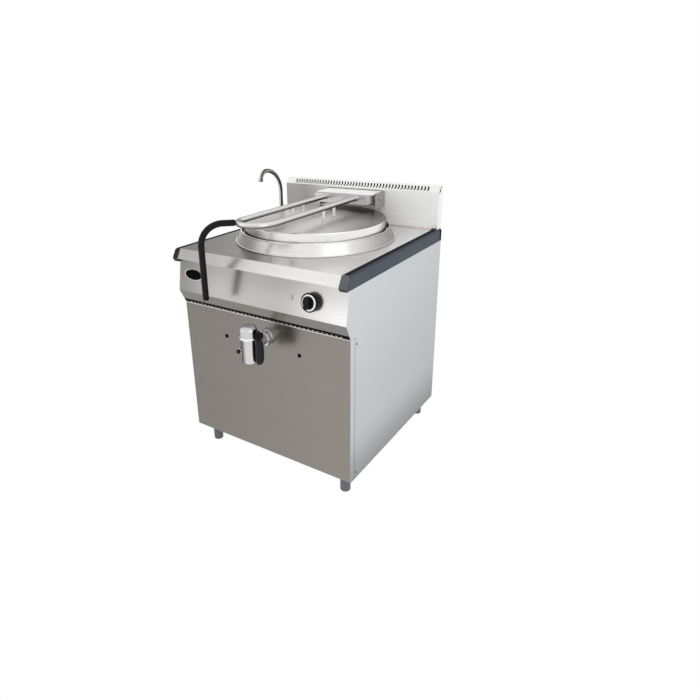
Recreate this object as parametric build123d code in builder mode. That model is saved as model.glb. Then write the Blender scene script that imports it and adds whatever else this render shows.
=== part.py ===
from build123d import *
from math import atan2, cos, hypot, radians, sin
import os

# Steam jacketed kettle in a freestanding stainless cabinet.
# Millimetres, +Z up, -Y is the operator's side. The origin is on the floor,
# under the middle of the overall footprint.

os.makedirs("parts", exist_ok=True)

# ---------------------------------------------------------------- driving sizes
# Cabinet
cabinet_width = 800
cabinet_depth = 788
worktop_height = 922
leg_height = 92
handle_reach = 122  # foremost point of the lid handle, ahead of the front panel
sheet = 1.5
fit_gap = 0.2  # clearance between panels that slot together
touch_gap = 0.3  # clearance between curved or moving neighbours

# Front and control panels
return_rise = 59  # foot of the control face above the front panel
front_return = 30
panel_flange = 15
control_rise = 125  # height of the control face
control_lean = 22  # how far its top stands back from its bottom
control_overhang = 29  # how far its bottom stands ahead of the front panel
vent_end_inset = 37.4  # outermost vents in from the cabinet's sides
vent_length = 15
vent_width = 5
vent_tilt = 35
vent_count = 38
vent_drop = 13  # centre of the vent row above the foot of the return

# Worktop
worktop_sheet = 2
trim_seat = 24  # worktop's side edges in from the cabinet's sides
nose_lean = 22
nose_face = 38
nose_overhang = 14  # foot of the nose ahead of the control panel's foot
trim_height = 52
trim_overhang = 3.5
trim_wall = 3
trim_bevel = 7
trim_foot_lean = 8  # how far the trim's foot steps back under the nose
trim_back_gap = 7
trim_cap_length = 6
rear_cap_length = 20
rear_cap_height = 5

# Backsplash
splash_depth = 43
splash_height = 183
splash_side_inset = 3
splash_chamfer_depth = 21
splash_chamfer_height = 25
louvre_end_inset = 55
louvre_count = 46
louvre_length = 22
louvre_width = 7
louvre_bow = 4  # each louvre is bent like a chevron

# Feet
foot_radius = 21
foot_head_radius = 25
foot_head_height = 10
foot_round = 6
foot_side_inset = 59
foot_front_inset = 61.5
foot_back_inset = 35

# Kettle
kettle_offset = 0.5  # kettle axis ahead of the cabinet's middle
kettle_front_gap = 51.5  # insulation behind the front panel's face
vessel_sheet = 2
vessel_depth = 325  # vessel's floor below the worktop
vessel_corner = 40
vessel_lip = 12
collar_spread = 46  # collar's foot outside the vessel's inner wall
collar_rim_spread = 25
collar_rise = 46
collar_sheet = 2
collar_bead = 3
gutter_depth = 13
gutter_width = 7
jacket_gap = 25  # steam space round the vessel
jacket_sheet = 3
jacket_drop = 37  # top of the jacket below the worktop
jacket_sump = 50  # water space under the vessel
insulation_thickness = 28
worktop_hole_clearance = 8  # worktop edge hidden under the collar

# Heating elements
element_radius = 4.25
element_span = 380
element_half_pitch = 16
element_spacing = 170
element_bend = 12
element_head_radius = 25
element_head_height = 16
element_rise = 22  # element height above the jacket floor

# Lid
lid_side_gap = 7  # lid's skirt inside the gutter
lid_sheet = 1.5
lid_edge_height = 83  # top edge of the skirt above the worktop
lid_crown = 9
lid_edge_round = 6
post_radius = 7
post_spread = 39
post_offset = 8  # middle of the posts ahead of the kettle's axis

# Lid arms, hinge and handle
arm_half_spacing = 75
arm_tube_radius = 11
arm_wall = 2
arm_height = 135  # arm centre line above the worktop
loop_reach = 51  # front of the arm loop ahead of the front panel
crossbar_length = 262
crossbar_depth = 57
crossbar_height = 38
crossbar_wall = 2.5
crossbar_front_inset = 189
cover_sheet = 3
cover_half_width = 141
cover_front_inset = 159
cover_back_inset = 57
axis_inset = 89.5  # hinge axis ahead of the cabinet's back
axis_height = 126
cheek_half_width = 145
cheek_sheet = 3
cheek_depth = 89
cheek_height = 69
cheek_top = 152
hub_wall = 3
pin_radius = 8
pin_clearance = 0.05
pin_head_radius = 11
pin_head_height = 5
pin_reach = 22  # pin length inside each end of the hub
torsion_bar_radius = 6
ear_plate = 6
handle_x = -168
handle_rod_radius = 9
handle_bend = 85
handle_drop = 157  # lower end of the handle below the worktop
sleeve_wall = 3
sleeve_end = 5

# Control knob and lamp, placed up and along the control face
knob_side_inset = 145
control_row = 62
knob_radius = 35
knob_height = 25
knob_taper = 2
knob_hub_radius = 24
knob_ring_height = 8
knob_ring_edge = 2
knob_grip_length = 46
knob_grip_width = 20
knob_grip_height = 16
knob_shaft_radius = 3
bushing_radius = 5
switch_size = 46
switch_depth = 55
lamp_spacing = 93  # lamp beside the knob
lamp_radius = 7
lamp_flange_radius = 10.5
lamp_dome = 4
lamp_barrel = 30

# Drain line and drain tap
drain_x = 30
drain_rise = 22  # drain line above the vessel's floor
drain_bore = 20
drain_wall = 3
tap_port = 13
drain_nut_flats = 56
drain_nut_thickness = 16
drain_flange_radius = 33
drain_flange_thickness = 5
tap_reach = 106  # tap axis ahead of the front panel
tap_body_radius = 29
tap_body_round = 6
tap_body_bottom = 64  # spout mouth below the drain line
tap_body_top = 33
tap_bore = 17
spout_mouth_bore = 18.5
spout_mouth_depth = 38
plug_clearance = 0.05
plug_bottom = 24
cap_radius = 33
cap_skirt = 30
cap_dome = 20
grip_offset = 46
grip_top = 70
grip_length = 132
grip_width = 36
grip_thickness = 24
grip_neck = 14

# Level cock
cock_x = -110
cock_drop = 93  # below the drain line
cock_radius = 7
cock_bore = 4
cock_reach = 10
cock_flange_radius = 11
cock_flange_thickness = 3
cock_knob_radius = 9
cock_knob_length = 8
cock_stem_length = 4
cock_elbow = 15
cock_run = 210  # jacket drain pipe under the jacket

# Blanking plugs on the front panel
plug_x = 180
plug_drop = 45  # below the drain line
plug_radius = 6
plug_head_radius = 8
plug_head_thickness = 2

# Filling tap
faucet_side_inset = 50
faucet_back_inset = 156
faucet_flange_radius = 24
faucet_flange_height = 6
faucet_body_radius = 15
faucet_body_height = 48
lever_height = 26
lever_hub_radius = 7
lever_hub_length = 16
lever_blade = 34
lever_thickness = 4
lever_stem_radius = 4
lever_stem_length = 8
spout_radius = 9
spout_bore = 7
spout_top = 243  # crown of the spout's centre line above the worktop
spout_back_bend = 107
spout_front_bend = 42
spout_last_turn = 72
spout_socket = 14
spout_outlet_radius = 11
spout_outlet_length = 14
spout_collar_radius = 12
spout_collar_height = 12
faucet_shank_radius = 10
faucet_shank_length = 45
water_pipe_radius = 7.5
water_bore = 5.5
inlet_radius = 10.5
inlet_length = 22
inlet_collar_radius = 16
inlet_collar_height = 8

# Services
gland_side_inset = 150
gland_back_inset = 90
gland_radius = 14
gland_bore = 8
gland_cap_radius = 19
gland_cap_length = 18
gland_inner_length = 12
box_width = 160
box_depth = 90
box_height = 110
valve_drop = 85  # below the top of the jacket
valve_reach = 60
valve_radius = 9
valve_body_radius = 14
valve_body_height = 50

# ---------------------------------------------------------------- derived places
half_width = cabinet_width / 2
back_y = (cabinet_depth + tap_reach + cap_radius) / 2
front_y = back_y - cabinet_depth
floor_z = leg_height + sheet
trim_bottom = worktop_height - trim_height
control_foot_y = front_y - control_overhang
control_foot_z = trim_bottom - control_rise
front_panel_top = control_foot_z - return_rise
control_top_y = control_foot_y + control_lean
nose_foot_y = control_foot_y - nose_overhang
nose_top_y = nose_foot_y + nose_lean
nose_foot_z = worktop_height - nose_face
splash_front_y = back_y - splash_depth
splash_top = worktop_height + splash_height
inner_half_width = half_width - sheet
worktop_half_width = half_width - trim_seat
splash_half_width = half_width - splash_side_inset
vent_pitch = 2 * (half_width - vent_end_inset) / (vent_count - 1)
louvre_pitch = 2 * (splash_half_width - louvre_end_inset) / (louvre_count - 1)

kettle_y = back_y - cabinet_depth / 2 - kettle_offset
kettle_axis = Axis((0, kettle_y, 0), (0, 0, 1))
kettle_plane = Plane((0, kettle_y, 0), x_dir=(1, 0, 0), z_dir=(0, -1, 0))
insulation_outer = kettle_y - front_y - kettle_front_gap
jacket_outer = insulation_outer - insulation_thickness
jacket_inner = jacket_outer - jacket_sheet
vessel_outer = jacket_inner - jacket_gap
vessel_radius = vessel_outer - vessel_sheet
vessel_floor = worktop_height - vessel_depth
collar_base_radius = vessel_radius + collar_spread
collar_rim_radius = vessel_radius + collar_rim_spread
collar_rim_z = worktop_height + collar_rise
gutter_z = collar_rim_z - gutter_depth
gutter_radius = collar_rim_radius - gutter_width
jacket_floor = vessel_floor - vessel_sheet - jacket_sump
jacket_top = worktop_height - jacket_drop
insulation_top = trim_bottom - touch_gap
worktop_hole = collar_base_radius - worktop_hole_clearance

lid_radius = gutter_radius - lid_side_gap
lid_edge_z = worktop_height + lid_edge_height
lid_skirt_z = gutter_z + touch_gap
arm_z = worktop_height + arm_height
loop_front_y = front_y - loop_reach
loop_y = loop_front_y + arm_half_spacing
crossbar_front_y = back_y - crossbar_front_inset
crossbar_back_y = crossbar_front_y + crossbar_depth
crossbar_top = arm_z + arm_tube_radius + 1
crossbar_bottom = crossbar_top - crossbar_height
axis_y = back_y - axis_inset
axis_z = worktop_height + axis_height
cheek_top_z = worktop_height + cheek_top
cheek_bottom_z = cheek_top_z - cheek_height
cheek_front_y = splash_front_y - cheek_depth
handle_y = front_y - handle_reach + handle_rod_radius + sleeve_wall
handle_bottom = worktop_height - handle_drop

control_slope = hypot(control_lean, control_rise)
control_plane = Plane(
    origin=(0, control_foot_y, control_foot_z),
    x_dir=(1, 0, 0),
    z_dir=(0, -control_rise / control_slope, control_lean / control_slope),
)
return_slope = hypot(control_overhang, return_rise)
return_plane = Plane(
    origin=(0, front_y, front_panel_top),
    x_dir=(1, 0, 0),
    z_dir=(0, -return_rise / return_slope, -control_overhang / return_slope),
)
chamfer_slope = hypot(splash_chamfer_depth, splash_chamfer_height)
chamfer_plane = Plane(
    origin=(0, splash_front_y, splash_top - splash_chamfer_height),
    x_dir=(1, 0, 0),
    z_dir=(0, -splash_chamfer_height / chamfer_slope, splash_chamfer_depth / chamfer_slope),
)

knob_x = half_width - knob_side_inset
lamp_x = knob_x - lamp_spacing
drain_outer = drain_bore + drain_wall
drain_height = vessel_floor + drain_rise
tap_y = front_y - tap_reach
cock_height = drain_height - cock_drop
plug_height = drain_height - plug_drop
faucet_y = back_y - faucet_back_inset
faucet_x = faucet_side_inset - half_width
gland_x = half_width - gland_side_inset
gland_y = back_y - gland_back_inset


def facing_front(y):
    """Drawing plane square to the depth at y: extrusions come towards the operator."""
    return Plane((0, y, 0), x_dir=(1, 0, 0), z_dir=(0, -1, 0))


# ---------------------------------------------------------------- cabinet
# Base tray: a folded floor that carries the feet and stiffens the panels
tray_front_y = front_y + sheet + fit_gap
tray_back_y = back_y - 2 * sheet - fit_gap
tray_half_width = inner_half_width - fit_gap
with BuildPart() as base_tray:
    with BuildSketch(Plane.XY.offset(floor_z)):
        with Locations((0, (tray_front_y + tray_back_y) / 2)):
            Rectangle(2 * tray_half_width, tray_back_y - tray_front_y)
    extrude(amount=panel_flange + sheet)
    offset(amount=-sheet, openings=base_tray.faces().sort_by(Axis.Z)[-1])
    with Locations(
        (gland_x, gland_y, floor_z),
        (faucet_x, faucet_y, floor_z),
    ):
        Cylinder(gland_radius, 4 * sheet, mode=Mode.SUBTRACT)
base_tray.part.label = "base_tray"
export_step(base_tray.part, "parts/base_tray.step")

# Front panel: one sheet folded round both corners
with BuildPart() as front_panel:
    with BuildSketch(Plane.XY.offset(leg_height)):
        with BuildLine():
            Polyline(
                (-half_width, front_y + front_return),
                (-half_width, front_y),
                (half_width, front_y),
                (half_width, front_y + front_return),
            )
            offset(amount=sheet, side=Side.LEFT, kind=Kind.INTERSECTION)
        make_face()
    extrude(amount=front_panel_top - leg_height)
    fillet(front_panel.edges().filter_by(Axis.Z).group_by(Axis.Y)[0], radius=2 * sheet - fit_gap)
    with BuildSketch(facing_front(front_y)):
        with Locations((drain_x, drain_height)):
            Circle(drain_outer + 1)
        with Locations((cock_x, cock_height)):
            Circle(cock_radius + touch_gap)
        with Locations((-plug_x, plug_height), (plug_x, plug_height)):
            Circle(plug_radius)
    extrude(amount=-2 * sheet, mode=Mode.SUBTRACT)
front_panel.part.label = "front_panel"
export_step(front_panel.part, "parts/front_panel.step")

# Side panel: its front edge follows the control panel, its back edge folds inwards
with BuildPart() as side_panel_right:
    with BuildSketch(Plane.YZ.offset(inner_half_width)):
        with BuildLine():
            Polyline(
                (front_y + front_return + fit_gap, leg_height),
                (back_y, leg_height),
                (back_y, trim_bottom),
                (control_top_y, trim_bottom),
                (control_foot_y, control_foot_z),
                (front_y, front_panel_top + fit_gap),
                (front_y + front_return + fit_gap, front_panel_top + fit_gap),
                close=True,
            )
        make_face()
    extrude(amount=sheet)
    with BuildSketch(Plane.XY.offset(trim_bottom - sheet)):
        with Locations((inner_half_width - panel_flange, (nose_top_y + back_y) / 2 + sheet)):
            Rectangle(2 * panel_flange, back_y - nose_top_y - 3 * panel_flange)
    extrude(amount=sheet)
    with BuildSketch(Plane.XY.offset(leg_height)):
        with Locations((inner_half_width - panel_flange / 2, back_y - 1.5 * sheet)):
            Rectangle(panel_flange, sheet)
    extrude(amount=trim_bottom - leg_height - sheet)
side_panel_right.part.label = "side_panel_right"
export_step(side_panel_right.part, "parts/side_panel_right.step")

with BuildPart() as side_panel_left:
    mirror(side_panel_right.part, about=Plane.YZ)
side_panel_left.part.label = "side_panel_left"
export_step(side_panel_left.part, "parts/side_panel_left.step")

# Back panel between the side panels, with a row of vents along its top
with BuildPart() as back_panel:
    with BuildSketch(Plane.XZ.offset(-back_y)):
        with Locations((0, (leg_height + trim_bottom) / 2)):
            Rectangle(2 * (inner_half_width - fit_gap), trim_bottom - leg_height)
    extrude(amount=sheet)
    with BuildSketch(Plane.XZ.offset(-back_y)):
        with Locations((0, trim_bottom - 2 * vent_pitch)):
            with GridLocations(2 * vent_pitch, vent_pitch, vent_count // 4, 2):
                Rectangle(vent_pitch, vent_width)
    extrude(amount=2 * sheet, mode=Mode.SUBTRACT)
back_panel.part.label = "back_panel"
export_step(back_panel.part, "parts/back_panel.step")

# Control panel: leaning face and a return that slopes back, with a row of vents
with BuildPart() as control_panel:
    with BuildSketch(Plane.YZ.offset(fit_gap - inner_half_width)):
        with BuildLine():
            Polyline(
                (control_top_y, trim_bottom),
                (control_foot_y, control_foot_z),
                (front_y, front_panel_top + fit_gap),
            )
            offset(amount=sheet, side=Side.LEFT, kind=Kind.INTERSECTION)
        make_face()
    extrude(amount=2 * (inner_half_width - fit_gap))
    with BuildSketch(control_plane):
        with Locations((knob_x, control_row)):
            Circle(bushing_radius)
        with Locations((lamp_x, control_row)):
            Circle(lamp_radius)
    extrude(amount=-2 * sheet, mode=Mode.SUBTRACT)
    with BuildSketch(return_plane):
        with Locations((0, vent_drop)):
            with GridLocations(vent_pitch, vent_pitch, vent_count, 1):
                Rectangle(vent_length, vent_width, rotation=-vent_tilt)
    extrude(amount=-2 * sheet, mode=Mode.SUBTRACT)
control_panel.part.label = "control_panel"
export_step(control_panel.part, "parts/control_panel.step")

# Worktop: pressed tray upside down, with a sloped nose and the kettle opening
with BuildPart() as worktop:
    with BuildSketch(Plane.YZ.offset(-worktop_half_width)):
        with BuildLine():
            Polyline(
                (back_y, worktop_height),
                (nose_top_y, worktop_height),
                (nose_foot_y, nose_foot_z),
                (control_top_y, trim_bottom),
                (back_y, trim_bottom),
                close=True,
            )
        make_face()
    extrude(amount=2 * worktop_half_width)
    offset(amount=-worktop_sheet, openings=worktop.faces().sort_by(Axis.Z)[0])
    with BuildSketch(Plane.XY.offset(worktop_height)):
        with Locations((0, kettle_y)):
            Circle(worktop_hole)
        with Locations((faucet_x, faucet_y)):
            Circle(faucet_shank_radius + touch_gap)
        with Locations((0, splash_front_y + splash_depth / 2)):
            SlotOverall(worktop_half_width, splash_depth / 2)
    extrude(amount=-2 * worktop_sheet, mode=Mode.SUBTRACT)
worktop.part.label = "worktop"
export_step(worktop.part, "parts/worktop.step")

# Side trims: hollow bevelled profiles along the worktop, with a cap that follows the nose
trim_inner_x = worktop_half_width + fit_gap
trim_width = half_width + trim_overhang - trim_inner_x
trim_back_y = back_y - trim_back_gap
trim_foot_y = nose_foot_y + trim_foot_lean


def trim_outline(start, end_z_points):
    """Side outline of a trim piece whose front follows the nose, shifted back by start."""
    return [
        (nose_top_y + start, worktop_height),
        (nose_foot_y + start, nose_foot_z),
        (trim_foot_y + start, trim_bottom),
        *end_z_points,
    ]


def trim_blank(outline):
    """Trim piece before it is hollowed: side outline, bevelled along its top outer edge."""
    with BuildPart() as blank:
        with BuildSketch(Plane.YZ.offset(trim_inner_x)):
            with BuildLine():
                Polyline(*outline, close=True)
            make_face()
        extrude(amount=trim_width)
        upper = blank.faces().sort_by(Axis.Z)[-1].edges().sort_by(Axis.X)[-1]
        chamfer(upper, length=trim_bevel)
    return blank.part


with BuildPart() as trim_right:
    add(trim_blank(trim_outline(
        trim_cap_length + fit_gap,
        [(trim_back_y, trim_bottom), (trim_back_y, worktop_height)],
    )))
    with BuildSketch(Plane.XZ.offset(-back_y)):
        with BuildLine():
            Polyline(
                (trim_inner_x + trim_wall, trim_bottom + trim_wall),
                (trim_inner_x + trim_wall, worktop_height - trim_wall),
                (trim_inner_x + trim_width - trim_bevel - trim_wall / 2, worktop_height - trim_wall),
                (trim_inner_x + trim_width - trim_wall, worktop_height - trim_bevel - trim_wall / 2),
                (trim_inner_x + trim_width - trim_wall, trim_bottom + trim_wall),
                close=True,
            )
        make_face()
    extrude(amount=2 * cabinet_depth, mode=Mode.SUBTRACT)
    with Locations((
        trim_inner_x + (trim_width - trim_bevel) / 2,
        splash_front_y - rear_cap_length / 2,
        worktop_height + rear_cap_height / 2,
    )):
        Box(trim_width - trim_bevel, rear_cap_length - fit_gap, rear_cap_height)
trim_right.part.label = "trim_right"
export_step(trim_right.part, "parts/trim_right.step")

with BuildPart() as trim_cap_right:
    add(trim_blank(trim_outline(0, [
        (trim_foot_y + trim_cap_length, trim_bottom),
        (nose_foot_y + trim_cap_length, nose_foot_z),
        (nose_top_y + trim_cap_length, worktop_height),
    ])))
trim_cap_right.part.label = "trim_cap_right"
export_step(trim_cap_right.part, "parts/trim_cap_right.step")

with BuildPart() as trim_left:
    mirror(trim_right.part, about=Plane.YZ)
trim_left.part.label = "trim_left"
export_step(trim_left.part, "parts/trim_left.step")

with BuildPart() as trim_cap_left:
    mirror(trim_cap_right.part, about=Plane.YZ)
trim_cap_left.part.label = "trim_cap_left"
export_step(trim_cap_left.part, "parts/trim_cap_left.step")

# Backsplash: vent housing with a louvred chamfer along its top, open below
louvre_outline = [
    (-louvre_width / 2, louvre_length / 2),
    (louvre_width / 2, louvre_length / 2),
    (louvre_width / 2 + louvre_bow, 0),
    (louvre_width / 2, -louvre_length / 2),
    (-louvre_width / 2, -louvre_length / 2),
    (louvre_bow - louvre_width / 2, 0),
]
with BuildPart() as backsplash:
    with BuildSketch(Plane.YZ.offset(-splash_half_width)):
        with BuildLine():
            Polyline(
                (splash_front_y, worktop_height),
                (splash_front_y, splash_top - splash_chamfer_height),
                (splash_front_y + splash_chamfer_depth, splash_top),
                (back_y, splash_top),
                (back_y, worktop_height),
                close=True,
            )
        make_face()
    extrude(amount=2 * splash_half_width)
    offset(amount=-sheet, openings=backsplash.faces().sort_by(Axis.Z)[0])
    with BuildSketch(chamfer_plane):
        with Locations((0, chamfer_slope / 2)):
            with GridLocations(louvre_pitch, louvre_pitch, louvre_count, 1):
                Polygon(*louvre_outline, align=None)
    extrude(amount=-2 * sheet, mode=Mode.SUBTRACT)
    # Open triangle under each end of the chamfer
    with BuildSketch(Plane.YZ.offset(-half_width)):
        with BuildLine():
            Polyline(
                (splash_front_y + 2 * sheet, splash_top - splash_chamfer_height),
                (splash_front_y + splash_chamfer_depth, splash_top - 2 * sheet),
                (splash_front_y + splash_chamfer_depth, splash_top - splash_chamfer_height),
                close=True,
            )
        make_face()
    extrude(amount=cabinet_width, mode=Mode.SUBTRACT)
backsplash.part.label = "backsplash"
export_step(backsplash.part, "parts/backsplash.step")

# Feet: moulded levelling feet under the base tray
foot_x = half_width - foot_side_inset
foot_places = [
    (-foot_x, front_y + foot_front_inset),
    (foot_x, front_y + foot_front_inset),
    (-foot_x, back_y - foot_back_inset),
    (foot_x, back_y - foot_back_inset),
]
for number, (x, y) in enumerate(foot_places, start=1):
    with BuildPart() as foot:
        with BuildSketch(Plane.XY.offset(0)):
            with Locations((x, y)):
                Circle(foot_radius)
        extrude(amount=floor_z - foot_head_height)
        with BuildSketch(Plane.XY.offset(floor_z - foot_head_height)):
            with Locations((x, y)):
                Circle(foot_head_radius)
        extrude(amount=foot_head_height)
        fillet(foot.edges().group_by(Axis.Z)[0], radius=foot_round)
    foot.part.label = f"foot_{number}"
    export_step(foot.part, f"parts/foot_{number}.step")

# Blanking plugs
for side, x in (("left", -plug_x), ("right", plug_x)):
    with BuildPart() as hole_plug:
        with BuildSketch(facing_front(front_y)):
            with Locations((x, plug_height)):
                Circle(plug_head_radius)
        extrude(amount=plug_head_thickness)
        fillet(hole_plug.edges().group_by(Axis.Y)[0], radius=plug_head_thickness / 2)
        with BuildSketch(facing_front(front_y)):
            with Locations((x, plug_height)):
                Circle(plug_radius - fit_gap)
        extrude(amount=-plug_radius)
    hole_plug.part.label = f"hole_plug_{side}"
    export_step(hole_plug.part, f"parts/hole_plug_{side}.step")

# ---------------------------------------------------------------- kettle
def vessel_profile():
    """Half outline of the vessel's outer surface, filled to the axis."""
    with BuildSketch(kettle_plane) as profile:
        with BuildLine():
            wall = FilletPolyline(
                (0, vessel_floor - vessel_sheet),
                (vessel_outer, vessel_floor - vessel_sheet),
                (vessel_outer, gutter_z - collar_sheet),
                radius=vessel_corner + vessel_sheet,
            )
            Polyline((vessel_outer, gutter_z - collar_sheet), (0, gutter_z - collar_sheet))
            Line((0, gutter_z - collar_sheet), (0, vessel_floor - vessel_sheet))
        make_face()
    return profile.sketch


with BuildPart() as vessel_envelope:
    add(vessel_profile())
    revolve(axis=kettle_axis)

# Vessel: deep-drawn pot with a lip that seats under the collar's gutter
with BuildPart() as kettle_vessel:
    with BuildSketch(kettle_plane):
        with BuildLine():
            FilletPolyline(
                (0, vessel_floor),
                (vessel_radius, vessel_floor),
                (vessel_radius, gutter_z - collar_sheet - vessel_sheet),
                (vessel_radius + vessel_lip, gutter_z - collar_sheet - vessel_sheet),
                radius=[vessel_corner, vessel_sheet],
            )
            offset(amount=vessel_sheet, side=Side.RIGHT, kind=Kind.INTERSECTION)
        make_face()
    revolve(axis=kettle_axis)
    with BuildSketch(facing_front(kettle_y - vessel_radius + vessel_corner)):
        with Locations((drain_x, drain_height)):
            Circle(drain_bore)
    extrude(amount=2 * vessel_corner, mode=Mode.SUBTRACT)
kettle_vessel.part.label = "kettle_vessel"
export_step(kettle_vessel.part, "parts/kettle_vessel.step")

# Collar: raised cone with rolled beads, whose rim dips into the gutter the lid stands in
with BuildPart() as kettle_collar:
    with BuildSketch(kettle_plane):
        with BuildLine():
            Polyline(
                (collar_base_radius, worktop_height + collar_bead),
                (collar_rim_radius, collar_rim_z),
                (gutter_radius, gutter_z),
                (vessel_outer, gutter_z),
            )
            offset(amount=collar_sheet, side=Side.LEFT, kind=Kind.INTERSECTION)
        make_face()
        with Locations(
            (collar_base_radius, worktop_height + collar_bead),
            (collar_rim_radius - 1, collar_rim_z),
        ):
            Circle(collar_bead)
    revolve(axis=kettle_axis)
kettle_collar.part.label = "kettle_collar"
export_step(kettle_collar.part, "parts/kettle_collar.step")

# Jacket: steam space and sump round the vessel, welded to it by a ring at the top
valve_height = jacket_top - valve_drop
valve_plane = Plane(
    origin=(0, kettle_y, valve_height),
    x_dir=(-1, 1, 0),
    z_dir=(1, 1, 0),
)
element_y = kettle_y + element_span / 2
element_z = jacket_floor + element_rise
element_places = (-element_spacing / 2, element_spacing / 2)
cock_back_y = front_y + cock_run
with BuildPart() as kettle_jacket:
    with BuildSketch(Plane.XY.offset(jacket_floor - jacket_sheet)):
        with Locations((0, kettle_y)):
            Circle(jacket_outer)
    extrude(amount=jacket_top - jacket_floor + jacket_sheet)
    with BuildSketch(Plane.XY.offset(jacket_floor)):
        with Locations((0, kettle_y)):
            Circle(jacket_inner)
    extrude(amount=jacket_top - jacket_sheet - jacket_floor, mode=Mode.SUBTRACT)
    with BuildSketch(Plane.XY.offset(jacket_top - jacket_sheet)):
        with Locations((0, kettle_y)):
            Circle(vessel_outer)
    extrude(amount=2 * jacket_sheet, mode=Mode.SUBTRACT)
    with BuildSketch(Plane.XY.offset(jacket_floor - jacket_sheet)):
        with Locations([(x, element_y) for x in element_places]):
            Circle(element_head_radius - element_bend / 3)
        with Locations((cock_x, cock_back_y)):
            Circle(cock_radius)
    extrude(amount=jacket_sheet, mode=Mode.SUBTRACT)
    with BuildSketch(facing_front(kettle_y)):
        with Locations((drain_x, drain_height)):
            Circle(drain_outer)
    extrude(amount=cabinet_depth, mode=Mode.SUBTRACT)
    with BuildSketch(valve_plane):
        Circle(valve_radius)
    extrude(amount=cabinet_depth, mode=Mode.SUBTRACT)
kettle_jacket.part.label = "kettle_jacket"
export_step(kettle_jacket.part, "parts/kettle_jacket.step")

# Insulation: blanket wrapped round the jacket, below the side trims
with BuildPart() as insulation:
    with BuildSketch(Plane.XY.offset(jacket_floor - jacket_sheet)):
        with Locations((0, kettle_y)):
            Circle(insulation_outer)
            Circle(jacket_outer, mode=Mode.SUBTRACT)
    extrude(amount=insulation_top - jacket_floor + jacket_sheet)
    with BuildSketch(facing_front(kettle_y)):
        with Locations((drain_x, drain_height)):
            Circle(drain_outer + touch_gap)
    extrude(amount=cabinet_depth, mode=Mode.SUBTRACT)
    with BuildSketch(valve_plane):
        Circle(valve_radius + touch_gap)
    extrude(amount=cabinet_depth, mode=Mode.SUBTRACT)
insulation.part.label = "insulation"
export_step(insulation.part, "parts/insulation.step")

# Heating elements: hairpins standing in the sump on screwed heads
for number, x in enumerate(element_places, start=1):
    with BuildPart() as heating_element:
        with BuildSketch(Plane.XY.offset(jacket_floor - jacket_sheet)):
            with Locations((x, element_y)):
                Circle(element_head_radius)
        extrude(amount=-element_head_height)
        with BuildLine() as hairpin:
            FilletPolyline(
                (x - element_half_pitch, element_y, jacket_floor - jacket_sheet),
                (x - element_half_pitch, element_y, element_z),
                (x - element_half_pitch, element_y - element_span, element_z),
                (x + element_half_pitch, element_y - element_span, element_z),
                (x + element_half_pitch, element_y, element_z),
                (x + element_half_pitch, element_y, jacket_floor - jacket_sheet),
                radius=element_bend,
            )
        with BuildSketch(Plane.XY.offset(jacket_floor - jacket_sheet)):
            with Locations((x - element_half_pitch, element_y)):
                Circle(element_radius)
        sweep(path=hairpin.wire())
    heating_element.part.label = f"heating_element_{number}"
    export_step(heating_element.part, f"parts/heating_element_{number}.step")

# Safety valve on a stub from the steam space
with BuildPart() as safety_valve:
    with BuildSketch(valve_plane.offset(jacket_inner)):
        Circle(valve_radius)
    extrude(amount=valve_reach)
    valve_run = (jacket_inner + valve_reach) * cos(radians(45))
    with Locations((valve_run, kettle_y + valve_run, valve_height)):
        Cylinder(valve_body_radius, valve_body_height)
    fillet(safety_valve.edges().group_by(Axis.Z)[-1], radius=sheet)
safety_valve.part.label = "safety_valve"
export_step(safety_valve.part, "parts/safety_valve.step")

# ---------------------------------------------------------------- drain line and taps
tap_mid_y = front_y - drain_flange_thickness - drain_nut_thickness / 2
tap_top_z = drain_height + tap_body_top
tap_bottom_z = drain_height - tap_body_bottom
cap_bottom_z = tap_top_z + touch_gap

with BuildPart() as drain_pipe:
    with BuildSketch(facing_front(kettle_y - vessel_radius + vessel_corner)):
        with Locations((drain_x, drain_height)):
            Circle(drain_outer)
    extrude(amount=kettle_y - vessel_radius + vessel_corner - tap_mid_y)
    add(vessel_envelope.part, mode=Mode.SUBTRACT)
    with BuildSketch(facing_front(kettle_y)):
        with Locations((drain_x, drain_height)):
            Circle(drain_bore)
    extrude(amount=cabinet_depth, mode=Mode.SUBTRACT)
drain_pipe.part.label = "drain_pipe"
export_step(drain_pipe.part, "parts/drain_pipe.step")

# Union nut and flange that clamp the tap to the panel
with BuildPart() as tap_nut:
    with BuildSketch(facing_front(front_y)):
        with Locations((drain_x, drain_height)):
            Circle(drain_flange_radius)
    extrude(amount=drain_flange_thickness)
    with BuildSketch(facing_front(front_y - drain_flange_thickness)):
        with Locations((drain_x, drain_height)):
            RegularPolygon(drain_nut_flats / 2, 6, major_radius=False)
    extrude(amount=drain_nut_thickness)
    with BuildSketch(facing_front(front_y)):
        with Locations((drain_x, drain_height)):
            Circle(drain_outer + fit_gap)
    extrude(amount=2 * drain_nut_thickness, mode=Mode.SUBTRACT)
tap_nut.part.label = "tap_nut"
export_step(tap_nut.part, "parts/tap_nut.step")

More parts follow.
